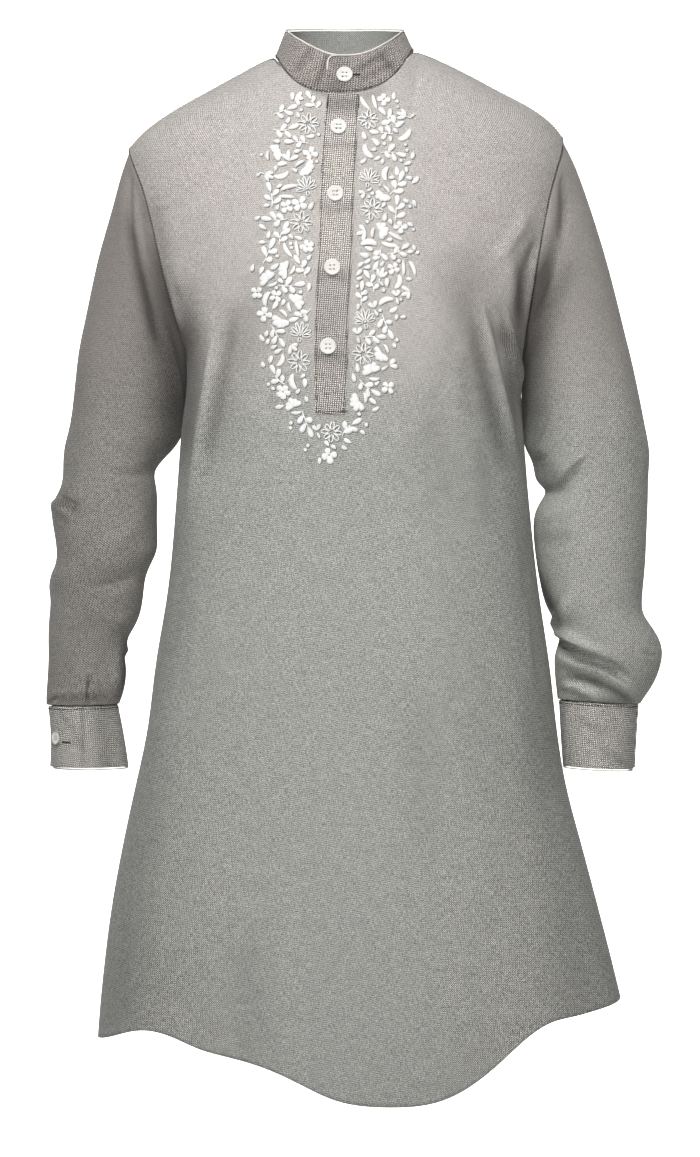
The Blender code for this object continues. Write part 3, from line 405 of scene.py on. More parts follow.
def woven_cotton(name, lit_upper, shaded_lower, depth, twill):
    """Woven cotton: yarns across and down that cross in a fine check, and diagonal twill lines.

    The yarns are about 0.5 mm apart in the real cloth, too fine to show, so they are drawn at
    2.2 mm, with slubs of thicker and thinner yarn. The cloth is matte with a faint fuzz. Its colour
    goes from the lit upper one above, a painted light, to the shaded lower one below, a painted
    shade; below, its weave also shows more. It is darkened by the painted shade of the fold hollows
    and lightened on sharp ridges by a painted highlight, from each point's hollow mark. Depth is
    how dark the hollows between its yarns are, and twill is how strong its diagonal lines are.
    """
    material, shader = new_material(name, {"Roughness": 0.88, "Sheen Weight": 0.06,
                                           "Sheen Roughness": 0.5, "Specular IOR Level": 0.2})
    tree = material.node_tree
    cut = add_node(tree, "UVMap", "UV")
    place = add_node(tree, "TexCoord", "Object")

    def reckon(kind, *values):
        fixed = {i: v for i, v in enumerate(values) if isinstance(v, float)}
        return add_node(tree, "Math", 0, {"operation": kind, **fixed},
                        {i: v for i, v in enumerate(values) if i not in fixed})

    def stripes(turn, pitch, waver):
        turned = add_node(tree, "Mapping", 0, {"Rotation": (0, 0, math.radians(turn))},
                          {"Vector": cut})
        wave = add_node(tree, "TexWave", "Fac",
                        {"Scale": 2 * math.pi / (20 * pitch), "Distortion": waver, "Detail": 1.0,
                         "Detail Scale": 9.0}, {"Vector": turned})
        return reckon("MULTIPLY_ADD", wave, 2.0, -1.0)

    def slubs(across, up, amount):
        drawn = add_node(tree, "Mapping", 0, {"Scale": (across, up, 1.0)}, {"Vector": cut})
        noise = add_node(tree, "TexNoise", 0, {"Scale": 1.0, "Detail": 1.0}, {"Vector": drawn})
        return reckon("MULTIPLY", reckon("SUBTRACT", noise, 0.5), amount)

    check = reckon("MULTIPLY", stripes(0.0, YARN_PITCH, 1.4), stripes(90.0, YARN_PITCH, 1.4))
    lines = reckon("MULTIPLY", stripes(TWILL_TURN, TWILL_PITCH, 1.0),
                   stripes(TWILL_TURN - 90.0, TWILL_PITCH, 1.0))
    weave = reckon("MULTIPLY_ADD", lines, twill, check)
    # Slubs: how many a metre across and up, and how strong. A band's twill has a coarser grain.
    uneven, grain = (0.3, 3.6) if twill > 0.5 else (0.65, 2.0)
    for across, up, amount in ((900.0, 900.0, grain), (240.0, 900.0, 1.5 * uneven),
                               (900.0, 200.0, 2.0 * uneven), (60.0, 60.0, 0.25)):
        weave = reckon("ADD", slubs(across, up, amount), weave)
    height = add_node(tree, "SeparateXYZ", "Z", {}, {0: place})
    cloud = add_node(tree, "TexNoise", 0, {"Scale": 6.0, "Detail": 2.0}, {"Vector": place})
    zone = add_node(tree, "MapRange", 0, {"From Min": SHADED_BELOW, "From Max": LIT_ABOVE,
                                          "interpolation_type": "SMOOTHSTEP"},
                    {"Value": reckon("MULTIPLY_ADD", cloud, 0.1, height)})
    strength = reckon("MULTIPLY_ADD", zone, -0.45 * depth, depth)
    light = reckon("MAXIMUM", reckon("MULTIPLY_ADD", weave, strength, 1.0), 0.3)
    # Painted shade: the colour is darkened by each point's hollow mark, and lightened as a painted
    # highlight where the mark is below nothing.
    hollow = add_node(tree, "Attribute", "Fac", {"attribute_name": "hollow"})
    light = reckon("MULTIPLY", light, reckon("SUBTRACT", 1.0, hollow))
    colour = add_node(tree, "Mix", 2, {"data_type": "RGBA", 6: linear(shaded_lower), 7: linear(lit_upper)},
                      {0: zone})
    colour = add_node(tree, "Mix", 2, {"data_type": "RGBA", "blend_type": "MULTIPLY", 0: 1.0},
                      {6: colour, 7: light})
    bump = add_node(tree, "Bump", 0, {"Strength": 0.25, "Distance": 0.3 * MM}, {"Height": weave})
    tree.links.new(colour, shader.inputs["Base Color"])
    tree.links.new(bump, shader.inputs["Normal"])
    return material


# Lighter and warmer above than below: painted light on the chest and painted shade on the lower
# body.
body_cotton = woven_cotton("woven_cotton_body", "#b8b3ae", "#9a9a95", 1.35, 0.45)
front = fine_piece("front_panel", outside_of("front", CLOTH_WALL), 3)
back = fine_piece("back_panel", outside_of("back", CLOTH_WALL), 2)
for piece, node, facing, creases, hollows in (
        (front, "front", -1, FRONT_CREASES, FRONT_PAINTED_SHADE),
        (back, "back", 1, BACK_CREASES, BACK_PAINTED_SHADE)):
    press_creases(piece, ((facing, creases),), fade=seam_fade(piece, SLIT_TOP))
    paint_shade_in_hollows(piece, ((facing, hollows),))
    wrap_map(piece.data, (0.0, 0.0, 0.0, 0.19), (0.0, 0.0, -1.0, 0.24))
    thicken(piece, CLOTH_WALL)
    piece.data.materials.append(body_cotton)
    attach(piece, "root")
    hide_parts(node)


# ---- Sleeves ----
# Long set-in sleeves of the same cotton, each one piece sewn to a tube along the underarm. They
# crumple at the elbow and above the cuff, and a deep fold runs down from the front of the armhole.
SLEEVE_RIGHT_FRONT = (
    (-4.5, 4, 5, -206, -86, -209, -127, -206, -164, -197, -202),
    (-3.5, 5, 6, -199, -140, -191, -174, -186, -204),
    (3.8, 3, 12, -181, -228, -172, -262, -166, -300, -163, -336),
    (3.0, 4, 8, -226, -350, -206, -368, -188, -388),
    (-3.2, 4, 4, -240, -386, -214, -391, -186, -394),
    (5.6, 2.5, 7, -285, -415, -270, -424, -256, -434),
    (-3.8, 2.5, 2.5, -279, -410, -264, -418, -250, -427),
    (2.5, 8, 8, -186, -430, -206, -446, -226, -470),
    (-2.5, 5, 5, -250, -498, -222, -497, -196, -488),
    (3.2, 6, 10, -286, -490, -268, -487, -250, -484),
    (2.5, 6, 8, -252, -520, -226, -526, -204, -538),
    (6.2, 2.2, 8, -209, -541, -217, -566, -217, -592, -219, -606),
    (-7.5, 4, 3, -205, -548, -211, -568, -211, -590, -214, -604),
    (-3.5, 2, 2, -243, -584, -244, -594, -245, -606),
    (2.0, 3, 5, -238, -582, -238, -594, -239, -606),
    (-4.5, 2.5, 2.5, -288, -609, -280, -608, -270, -604),
    (1.5, 14, 14, -246, -240, -242, -320, -236, -380),
)
SLEEVE_LEFT_FRONT = (
    (-4.8, 3, 4.5, 205, -100, 207, -136, 206, -152, 201, -178),
    (7.5, 12, 3.2, 204, -168, 195, -208, 186, -232, 176, -262, 171, -282),
    (-3.4, 5, 4, 190, -150, 184, -190, 176, -232),
    (3.7, 8, 3, 200, -322, 191, -350, 182, -380),
    (5.3, 3, 9, 230, -368, 211, -386, 194, -410),
    (-3.7, 4, 5, 224, -386, 208, -400, 198, -414),
    (-3.0, 6, 6, 178, -444, 200, -437, 224, -433),
    (2.1, 9, 9, 180, -470, 204, -463, 236, -466),
    (7.5, 12, 3.2, 219, -492, 206, -516, 202, -533, 206, -546, 229, -560, 252, -563),
    (-5.8, 4, 5, 196, -545, 214, -559, 240, -568),
    (6.9, 3, 8, 197, -559, 209, -568, 229, -572, 248, -581, 270, -596, 283, -611),
    (-4.8, 4, 3.5, 214, -565, 234, -567, 254, -575, 274, -590),
    (5.1, 3, 6, 203, -592, 220, -593, 238, -608),
    (-3.9, 3.5, 3.5, 210, -583, 230, -588, 246, -603),
    (-1.8, 2, 2, 280, -562, 288, -564, 298, -566),
    (1.6, 14, 14, 262, -250, 264, -330, 256, -400),
)
SLEEVE_BACK = (
    (3.0, 10, 6, 184, -250, 206, -290, 232, -330),
    (3.6, 6, 9, 190, -388, 222, -374, 258, -352),
    (-3.2, 7, 7, 196, -424, 230, -414, 274, -398),
    (3.0, 9, 6, 208, -500, 236, -484, 264, -458),
    (3.6, 5, 8, 212, -560, 246, -552, 284, -540),
    (-3.0, 5, 5, 216, -590, 248, -586, 280, -576),
)
# Painted shade in the sleeves' fold hollows, and painted highlights on ridges where the height is
# below nothing, as in the panels' table.
SLEEVE_RIGHT_PAINTED_SHADE = (
    (0.66, 15, 22, -176, -110, -176, -150, -172, -205, -168, -255, -167, -305, -170, -350, -180,
     -410),
    (-0.12, 7, 7, -200, -70, -199, -120, -194, -165, -186, -215),
    (0.5, 4, 7, -211, -118, -207, -146, -199, -183, -188, -232, -176, -290),
    (0.3, 4, 4, -203, -96, -194, -130, -187, -162),
    (0.4, 4, 4, -282, -414, -266, -421, -250, -430),
    (0.22, 10, 10, -176, -396, -180, -430, -176, -462),
    (0.2, 8, 8, -190, -476, -214, -484, -240, -488),
    (0.66, 6, 5, -204, -536, -212, -562, -212, -588, -216, -612),
    (-0.1, 8, 10, -280, -500, -278, -540, -280, -580),
    (0.13, 18, 18, -240, -450, -242, -510, -246, -560),
    (0.44, 1.6, 1.6, -244, -578, -245, -594, -246, -612),
    (0.4, 2, 2, -292, -612, -284, -608, -272, -600),
    (-0.16, 3, 3, -288, -596, -262, -596, -230, -594),
    (0.28, 5, 5, -286, -606, -262, -603, -238, -603, -220, -602),
)
SLEEVE_LEFT_PAINTED_SHADE = (
    (0.66, 21, 20, 186, -160, 178, -230, 174, -290, 175, -340, 182, -400),
    (0.52, 9, 8, 208, -80, 205, -120, 200, -153, 190, -190, 180, -227, 173, -264),
    (0.36, 9, 9, 176, -366, 188, -386, 202, -398, 214, -400),
    (0.3, 10, 10, 176, -446, 198, -451, 220, -442),
    (0.25, 8, 8, 182, -480, 188, -510, 194, -536),
    (0.62, 6, 4, 176, -470, 190, -504, 202, -526, 206, -546),
    (0.6, 4, 5, 196, -536, 208, -557, 222, -568, 244, -574, 274, -586),
    (0.58, 4, 4, 196, -592, 214, -585, 240, -589, 258, -599, 284, -614),
    (0.36, 4, 4, 200, -606, 240, -609, 290, -608),
    (-0.22, 3, 3, 218, -496, 206, -524, 211, -541, 228, -552, 256, -560),
    (-0.22, 3, 3, 190, -551, 212, -571, 232, -579, 254, -588, 290, -612),
    (-0.18, 2, 2, 204, -595, 224, -592, 244, -606),
    (-0.08, 5, 5, 238, -360, 214, -384, 196, -412),
    (0.07, 30, 30, 236, -330, 244, -380, 250, -430),
)
SLEEVE_BACK_PAINTED_SHADE = (
    (0.4, 12, 12, 172, -200, 174, -280, 182, -360),
    (0.3, 7, 7, 192, -400, 224, -388, 262, -368),
    (0.28, 6, 6, 212, -572, 248, -566, 284, -552),
)
# The right sleeve's inner side swells out to the body above the elbow.
SWELL_HEIGHT, SWELL_REACH, SWELL_OUT = -0.305, 0.05, 0.0042


def mirrored(creases):
    """The same creases on the other side of the garment."""
    return [(height, far, near, *(v * (-1, 1)[i % 2] for i, v in enumerate(line)))
            for height, near, far, *line in creases]


# The right sleeve's colours are painted darker than the left's, as painted shade on the same cloth;
# on each sleeve the upper colour goes to the lower one as on the panels.
for side, out, lit_upper, shaded_lower, fronts, backs, hollows, back_painted_shade in (
        ("right", -1, "#948e89", "#8b8883", SLEEVE_RIGHT_FRONT, mirrored(SLEEVE_BACK),
         SLEEVE_RIGHT_PAINTED_SHADE, mirrored(SLEEVE_BACK_PAINTED_SHADE)),
        ("left", 1, "#a8a39d", "#a8a8a2", SLEEVE_LEFT_FRONT, SLEEVE_BACK,
         SLEEVE_LEFT_PAINTED_SHADE, SLEEVE_BACK_PAINTED_SHADE)):
    work = outside_of("sleeve_" + side, CLOTH_WALL)
    pinned = work.verts.layers.float.new("crease_vert")
    ring = [v for v in work.verts if v.is_boundary and v.co.z > -0.4]
    underarm, tip = min(ring, key=lambda v: v.co.z), max(ring, key=lambda v: v.co.z)
    underarm[pinned] = tip[pinned] = 1.0
    sleeve = fine_piece("sleeve_" + side + "_cloth", work, 3)
    wrap_map(sleeve.data, (0.185 * out, 0.0, -0.1, 0.06), (0.25 * out, 0.0, -0.61, 0.036))
    press_creases(sleeve, ((-1, fronts), (1, backs)), fade=seam_fade(sleeve, -math.inf))
    paint_shade_in_hollows(sleeve, ((-1, hollows), (1, back_painted_shade)))
    if side == "right":
        places, normals = points_of(sleeve)
        near = np.exp(-(((places[:, 2] - SWELL_HEIGHT) / SWELL_REACH) ** 2))
        places[:, 0] += SWELL_OUT * near * np.clip(normals[:, 0], 0, 1)
        move_points(sleeve, places)
    thicken(sleeve, CLOTH_WALL)
    sleeve.data.materials.append(
        woven_cotton("woven_cotton_sleeve_" + side, lit_upper, shaded_lower, 0.9, 0.45))
    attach(sleeve, "root")
    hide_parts("sleeve_" + side)


# ---- Collar, placket and cuffs ----
# Doubled bands of the same cotton with an interlining, cut so that its twill lines show. They are
# turned and topstitched, and the collar's wearer's-right end laps over the other.
BAND_SHARP, BAND_LEVELS = 0.8, 3
FLAT_WITHIN, SHARP_ABOVE = math.radians(50), math.radians(55)
COLLAR_CREASES = (
    (0.6, 3.1, 4.4, 4, -17, 14, -12, 24, -2, 30, 6),
    (-0.6, 3.1, 3.1, 5, -20, 16, -18, 28, -10),
    (0.5, 3.1, 3.8, -10, -22, -22, -16, -34, -2),
    (-0.5, 2.5, 3.8, -18, -4, -26, -10, -30, -20),
    (0.5, 3.8, 3.8, -30, 2, -42, 14, -50, 26),
    (-0.4, 3.8, 3.8, 30, -16, 40, -8, 48, 4),
    (-0.3, 3.1, 3.1, -12, -28, -20, -30, -30, -28),
)
PLACKET_CREASES = (
    (0.4, 4.8, 4.8, -18, -58, -8, -60, 4, -57),
    (-0.3, 4.8, 4.8, -19, -84, -8, -82, 3, -85),
    (0.3, 4.8, 4.8, -22, -148, -12, -146, 0, -150),
    (-0.3, 4.8, 4.8, -24, -216, -14, -219, -3, -216),
    (0.4, 4.8, 4.8, -26, -262, -18, -260, -6, -264),
    (-0.4, 4.8, 4.8, -27, -290, -18, -292, -7, -289),
)
CUFF_CREASES = (
    (-0.5, 3.6, 3.6, -246, -614, -246, -640, -245, -666),
    (0.4, 5.4, 5.4, -240, -616, -240, -640, -238, -664),
    (-0.5, 5.4, 5.4, -262, -644, -252, -646, -244, -642),
    (0.5, 7.2, 7.2, -224, -620, -220, -642, -214, -662),
    (0.5, 5.4, 7.2, 240, -650, 252, -656, 268, -662),
    (-0.5, 5.4, 5.4, 214, -622, 232, -628, 250, -626),
    (0.4, 5.4, 7.2, 232, -636, 226, -650, 222, -668),
)
# Painted shade in the bands' hollows, and painted highlights where the height is below nothing, as
# in the panels' table.
COLLAR_PAINTED_SHADE = (
    (0.5, 2, 3, -12, 8, -19, -6, -24, -18, -30, -36),
    (0.42, 2.5, 4, 0, -20, 14, -12, 26, -4, 42, 10),
    (0.34, 3, 3, 4, -26, 22, -20, 48, -4),
    (0.34, 4, 3, -30, 16, -40, -2, -52, -20),
    (0.3, 3, 5, 26, 4, 38, -6, 54, -24),
    (0.22, 9, 9, -84, -8, -44, -30, 0, -40, 44, -32, 84, -8),
    (0.24, 10, 10, -6, 20, -7, -8, -8, -50),
)
PLACKET_PAINTED_SHADE = (
    (0.42, 11, 11, -60, -46, -6, -49, 50, -46),
    (0.2, 4, 4, -60, -92, -8, -88, 44, -94),
    (0.2, 5, 5, -64, -146, -12, -149, 44, -143),
    (0.2, 5, 5, -66, -216, -14, -212, 40, -218),
    (0.22, 5, 5, -68, -288, -18, -285, 34, -290),
    (0.22, 26, 26, -15, -170, -16, -240, -18, -330, -18, -460),
)
CUFF_PAINTED_SHADE = (
    (0.36, 10, 10, -236, -560, -232, -620, -229, -660, -226, -730),
    (0.3, 2, 2, -251, -590, -250, -640, -250, -700),
    (0.22, 3, 3, -276, -610, -262, -632, -244, -660),
    (0.2, 4, 4, 214, -620, 232, -632, 256, -640),
    (0.2, 4, 4, 236, -650, 254, -660, 276, -672),
    (0.24, 8, 8, 204, -560, 204, -640, 206, -730),
)


def smooth_solid(name, node, levels, sharp):
    """A CAD solid as a finer, rounded one that keeps its edges."""
    work = bmesh.new()
    work.from_mesh(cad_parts[node].data)
    bmesh.ops.remove_doubles(work, verts=work.verts, dist=WELD)
    bmesh.ops.join_triangles(work, faces=work.faces, angle_face_threshold=FLAT_WITHIN,
                             angle_shape_threshold=math.pi)
    firm = work.edges.layers.float.new("crease_edge")
    for edge in work.edges:
        if edge.calc_face_angle(0) > SHARP_ABOVE:
            edge[firm] = sharp
    piece = fine_piece(name, work, levels)
    piece.data.materials.clear()
    return piece


# The collar's cotton is painted darker than the body's, partly its own tone and partly painted
# shade; the placket goes from a lighter colour at its top to a darker one at its foot, as painted
# light and shade.
collar_cotton = woven_cotton("twill_cotton_collar", "#8f8a85", "#8f8a85", 2.0, 1.0)
placket_cotton = woven_cotton("twill_cotton_placket", "#a6a29d", "#989590", 1.8, 1.8)
lining_cotton = woven_cotton("woven_cotton_collar_lining", "#9fa09b", "#9fa09b", 0.8, 0.4)
cuff_cotton = woven_cotton("twill_cotton_cuff", "#979590", "#979590", 2.0, 1.0)
# Each band's name, node, upright axis and radius for its yarns, cloth, slot, flat size, area,
# what it rests on, creases, and the painted shade of its hollows.
BANDS = (
    ("collar_band", "collar", (0.0, 0.0, 0.065), collar_cotton, "band_cloth", (0.44, 0.042),
     0.0165, ("front_panel", "back_panel"), COLLAR_CREASES, COLLAR_PAINTED_SHADE),
    ("placket_strip", "placket", (0.0, 2.0, 2.0), placket_cotton, "band_cloth", (0.035, 0.302),
     None, ("front_panel",), PLACKET_CREASES, PLACKET_PAINTED_SHADE),
    ("cuff_right_band", "cuff_right", (-0.247, -0.019, 0.034), cuff_cotton, "body_cloth",
     (0.25, 0.06), None, ("sleeve_right_cloth",), CUFF_CREASES, CUFF_PAINTED_SHADE),
    ("cuff_left_band", "cuff_left", (0.244, 0.016, 0.034), cuff_cotton, "body_cloth",
     (0.27, 0.062), None, ("sleeve_left_cloth",), CUFF_CREASES, CUFF_PAINTED_SHADE),
)
bands = {}
for name, node, (x, y, radius), cotton, slot, flat, area, on, creases, hollows in BANDS:
    piece = smooth_solid(name, node, BAND_LEVELS, BAND_SHARP)
    press_creases(piece, ((-1, creases),), wrap=0.0)
    paint_shade_in_hollows(piece, ((-1, hollows),))
    wrap_map(piece.data, (x, y, 0.0, radius), (x, y, -1.0, radius))
    piece.data.materials.append(cotton)
    if node == "collar":
        piece.data.materials.append(lining_cotton)
        for face in piece.data.polygons:
            face.material_index = int(face.normal.xy.dot(face.center.xy) < -0.01)
    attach(piece, "root")
    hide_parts(node)
    bands[node] = piece


# ---- Piping ----
# Thin cream cotton cord, covered on the bias, sewn between the layers of the collar's top edge
# and of the cuffs' lower edges.
def plain_finish(name, colour, roughness, sheen=0.0, specular=0.5):
    """A finish of one colour."""
    return new_material(name, {"Base Color": linear(colour), "Roughness": roughness,
                               "Sheen Weight": sheen, "Specular IOR Level": specular})


# Bias-covered cord: cream and matte, with the soft edge light of brushed cotton.
cream_cord = plain_finish("cotton_piping", "#ece5dc", 0.8, 0.15, 0.3)[0]
for node in ("piping_collar", "piping_cuff_right", "piping_cuff_left"):
    cord = smooth_solid(node + "_cord", node, 2, 0.0)
    cord.data.materials.append(cream_cord)
    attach(cord, "root")
    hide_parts(node)


# ---- Buttons ----
# Cast white resin shirt buttons with a raised rim, a shallow dish and four holes, each sewn
# through with two stitches of white thread.
FULL_RADIUS, HOLE_RADIUS, HOLE_PLACE = 7.2, 1.05, 1.8
THREAD_HEIGHT, THREAD_HUMP, THREAD_RISE, THREAD_HALF, THREAD_END = 1.5, 0.25, 0.22, 0.16, 0.35
# The turned outline: shares of the radius, and heights in millimetres.
BUTTON_PROFILE = ((0.0, 1.5), (0.5, 1.52), (0.62, 1.62), (0.7, 2.05), (0.78, 2.5), (0.87, 2.62),
                  (0.95, 2.45), (1.0, 1.9), (0.98, 1.2), (0.88, 0.35), (0.7, 0.02), (0.0, 0.0))
# Polyester resin: IOR about 1.55, with the soft gloss of a tumbled surface.
resin, resin_shader = plain_finish("cast_white_resin", "#e3e1da", 0.32)
resin_shader.inputs["IOR"].default_value = 1.55
# Cotton sewing thread: white, matte and slightly fuzzy, with its colour painted grey as painted
# shade of the button's dish.
thread = plain_finish("white_cotton_thread_painted_shade", "#a8a49c", 0.75, 0.2, 0.3)[0]


def turned_button(name, node, outwards):
    """A four-hole button at the place of its CAD node, and its thread."""
    corners = np.array([v.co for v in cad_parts[node].data.vertices])
    middle = corners.mean(axis=0)
    axis = Vector(np.linalg.eigh(np.cov((corners - middle).T))[1][:, 0])
    axis = axis if axis.dot(outwards) > 0 else -axis
    across = Vector((0, 0, 1)).cross(axis).normalized()
    radius = np.linalg.norm(corners - middle, axis=1).max() / MM
    low = min((Vector(c) - Vector(middle)).dot(axis) for c in corners)
    home = Matrix((across, axis.cross(across), axis)).transposed().to_4x4()
    home.translation = Vector(middle) + axis * low
    work = bmesh.new()
    line = [work.verts.new((r * radius, 0, h)) for r, h in BUTTON_PROFILE]
    edges = [work.edges.new(pair) for pair in zip(line, line[1:])]
    bmesh.ops.spin(work, geom=line + edges, cent=(0, 0, 0), axis=(0, 0, 1), dvec=(0, 0, 0),
                   angle=2 * math.pi, steps=40, use_merge=True)
    bmesh.ops.remove_doubles(work, verts=work.verts, dist=0.001)
    bmesh.ops.recalc_face_normals(work, faces=work.faces)
    drills = bmesh.new()
    share = radius / FULL_RADIUS
    place, hole = HOLE_PLACE * share, HOLE_RADIUS * share
    for x, y in ((-place, -place), (-place, place), (place, -place), (place, place)):
        bmesh.ops.create_cone(drills, cap_ends=True, segments=12, radius1=hole, radius2=hole,
                              depth=8, matrix=Matrix.Translation((x, y, 1)))
    button, tool = piece_from(work, "turned"), piece_from(drills, "drills")
    button.modifiers.new("holes", "BOOLEAN").object = tool
    apply_modifiers(button)
    sewing = bmesh.new()
    sewing.from_mesh(button.data)
    bpy.data.objects.remove(button)
    bpy.data.objects.remove(tool)
    white = len(sewing.faces)
    for y in (-place, place):
        made = bmesh.ops.create_uvsphere(sewing, u_segments=10, v_segments=8, radius=1.0)
        for vert in made["verts"]:
            hump = THREAD_HEIGHT + THREAD_HUMP * (1 - vert.co.x**2) + vert.co.z * THREAD_RISE
            vert.co = (vert.co.x * (HOLE_PLACE + THREAD_END) * share,
                       y + vert.co.y * THREAD_HALF, hump)
    sewing.faces.ensure_lookup_table()
    for face in sewing.faces[white:]:
        face.material_index = 1
    bmesh.ops.transform(sewing, matrix=home @ Matrix.Diagonal((MM, MM, MM, 1)),
                        verts=sewing.verts)
    piece = piece_from(sewing, name)
    piece.data.materials.append(resin)
    piece.data.materials.append(thread)
    piece.data.shade_smooth()
    piece.data.set_sharp_from_angle(angle=math.radians(40))
    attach(piece, "root")
    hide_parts(node)


for i in range(1, 6):
    turned_button("button_%d_resin" % i, "button_%d" % i, Vector((0, -1, 0)))
turned_button("button_cuff_right_resin", "button_cuff_right", Vector((-1, -0.6, 0)))
turned_button("button_cuff_left_resin", "button_cuff_left", Vector((1, 0.6, 0)))


# ---- Floral embroidery ----
# Raised satin stitch in thick white cotton down both sides of the placket, which closes to a
# point below it: outlined daisies and lotus flowers, and round them sprigs, blossoms, curls, buds
# and dots. Each blob is a stitched patch: it starts at a place, heads off at a turn (0 is up,
# in degrees), and has a length, width, bend in degrees, rise, and how round its two ends are.
Blob = namedtuple("Blob", "x z turn length width bend rise root tip")
# The lines that close in the band on each side: its outside from the top down, or up again, and
# its inside back beside the placket.
OUTER_LEFT = ((-50, -33), (-64, -52), (-73, -76), (-80, -141), (-82, -187), (-87, -233),
              (-78, -261), (-71, -307), (-68, -331), (-51, -349), (-44, -364), (-14, -388))
INNER_LEFT = ((-14, -346), (-33, -346), (-35, -320), (-33, -240), (-30, -170), (-26, -100),
              (-22, -41))
OUTER_RIGHT = ((-14, -388), (6, -364), (18, -353), (24, -335), (41, -315), (43, -280), (51, -244),
               (63, -212), (60, -173), (62, -128), (60, -60), (50, -32))
INNER_RIGHT = ((12, -42), (10, -110), (8, -200), (5, -290), (1, -342), (-14, -344))
# Daisies at x, z with their radius, and lotus flowers at x, z with their turn.
DAISIES = ((-36, -68, 10.5), (-42, -162, 10.5), (-44, -291, 10.5), (20, -64, 9.5),
           (23, -150, 10.5), (15, -284, 10), (-14, -356, 9.5))
LOTUSES = ((-37, -128, -14), (-43, -264, 10), (20, -120, 12), (17, -252, -12))
CELL, CLEAR_GAP, LEAST_FREE, SEED = 0.4, 0.5, 0.95, 41
RIB_PITCH, THIN_WIDTH = 0.8055 * MM, 1.5
# Each patch's painted shadow outline: how far it spreads past the patch, its shift down and to the
# right, and its rise.
SHADOW_OUTLINE_SPREAD, SHADOW_OUTLINE_SHIFT, SHADOW_OUTLINE_RISE = 0.5, (0.34, -0.46), 0.3
RAGGED_STEP, SWELL_BY, DRAW_IN = 11, 6.5, 4.5
RAY_START = -0.6
LOW_X, HIGH_X, LOW_Z, HIGH_Z = -95, 75, -395, -30


def leaf(x, z, turn, length, width, bend=0.0):
    return Blob(x, z, turn, length, width, bend, 1.5, 0.9, 0.6)


def petal(x, z, turn, length, width, bend=0.0):
    return Blob(x, z, turn, length, width, bend, 1.5, 0.85, 0.38)


def curl(x, z, turn, length, width, bend):
    return Blob(x, z, turn, length, width, bend, 1.5, 0.6, 0.6)


def dot(x, z, size):
    return Blob(x, z - size / 2, 0, size, size, 0, 1.0, 0.5, 0.5)


def thread_line(x, z, turn, length, bend, width=1.3):
    return Blob(x, z, turn, length, width, bend, 0.9, 0.12, 0.12)


def off(x, z, turn, distance):
    """The place that lies a distance off in the direction of a turn."""
    return x + distance * math.sin(math.radians(turn)), z + distance * math.cos(math.radians(turn))


def petal_outline(x, z, turn, length, width, start):
    """A hollow pointed petal: two thin lines that bow apart and meet."""
    x, z = off(x, z, turn, start)
    bow = math.degrees(4 * math.atan(width / length))
    run = length * math.radians(bow / 2) / math.sin(math.radians(bow / 2))
    return [thread_line(x, z, turn, run, bow * side) for side in (-1, 1)]


def daisy(x, z, radius):
    blobs = [Blob(x + 1.9 * math.cos(a), z + 1.9 * math.sin(a), -math.degrees(a), 2.6, 0.9, -70,
                  0.8, 0.2, 0.2) for a in np.radians(np.arange(0, 360, 60))]
    for k in range(8):
        length = radius - 2.6 + (0.7 if k % 3 == 0 else -0.2 if k % 2 else 0.2)
        blobs += petal_outline(x, z, 45 * k + 6, length, 3.5, 2.6)
    return blobs


def lotus(x, z, turn):
    blobs = []
    for angle, length in ((0, 12.5), (-27, 12), (27, 12), (-54, 10.5), (54, 10.5), (-82, 9),
                          (82, 9), (180, 5)):
        blobs += petal_outline(x, z - 3, turn + angle, length, 2.5, 1.4)
    blobs.append(dot(x, z - 2.4, 2.2))
    return blobs


def blossom(dice, size):
    """A full flower of four or five wide petals that touch."""
    count = int(dice.choice([4, 4, 5]))
    start = dice.uniform(0, 90)
    return [Blob(*off(0, 0, start + 360 * k / count, 0.3), start + 360 * k / count
                 + dice.uniform(-9, 9), dice.uniform(5.4, 6.8) * size,
                 dice.uniform(4.4, 5.4) * size, 0, 1.5, 0.6, 0.34) for k in range(count)]


def layered_flower(dice, size):
    """A flower from its side: two long petals that lie one over the other, on a blossom."""
    bend = dice.uniform(35, 60)
    flower = moved(blossom(dice, 0.8 * size), 0.6 * size, -8.0 * size, 0)
    return flower + [curl(-6.4 * size, 2.4 * size, 62, 13.5 * size, 3.4 * size, bend),
                     curl(-6.8 * size, -1.9 * size, 82, 12.5 * size, 2.8 * size, bend / 3)]


def fan(dice, size):
    """Five petals spread above a curved sepal."""
    petals = [petal(0, 0, a + dice.uniform(-5, 5), dice.uniform(6.4, 8.0) * size, 4.1 * size, a / 4)
              for a in (-78, -38, 0, 38, 78)]
    return petals + [curl(-3.4 * size, -2.3 * size, 112, 8.5 * size, 2.6 * size, -60)]


def sprig(dice, size):
    bend = dice.uniform(-50, 50)
    blobs = [thread_line(0, 0, 0, 12 * size, bend)]
    for share, side in ((0.3, 1), (0.52, -1), (0.75, 1)):
        heading = bend * (share - 0.5)
        x, z = off(0, 0, heading / 2 - bend / 4, 12 * size * share)
        blobs.append(leaf(x, z, heading + side * dice.uniform(38, 62), dice.uniform(5.5, 8) * size,
                          dice.uniform(3.4, 4.3) * size, -side * 20))
    x, z = off(0, 0, 0, 11.4 * size)
    blobs.append(leaf(x, z, bend / 2, 8.5 * size, 3.9 * size, dice.uniform(-20, 20)))
    return blobs


def curls(dice, size):
    side = dice.choice([-1, 1])
    return [curl(0, 0, 0, 13.5 * size, 4.3 * size, 105 * side),
            leaf(side * 4.8 * size, -1.0, 12 * side, 7.8 * size, 3.8 * size, -40 * side)]


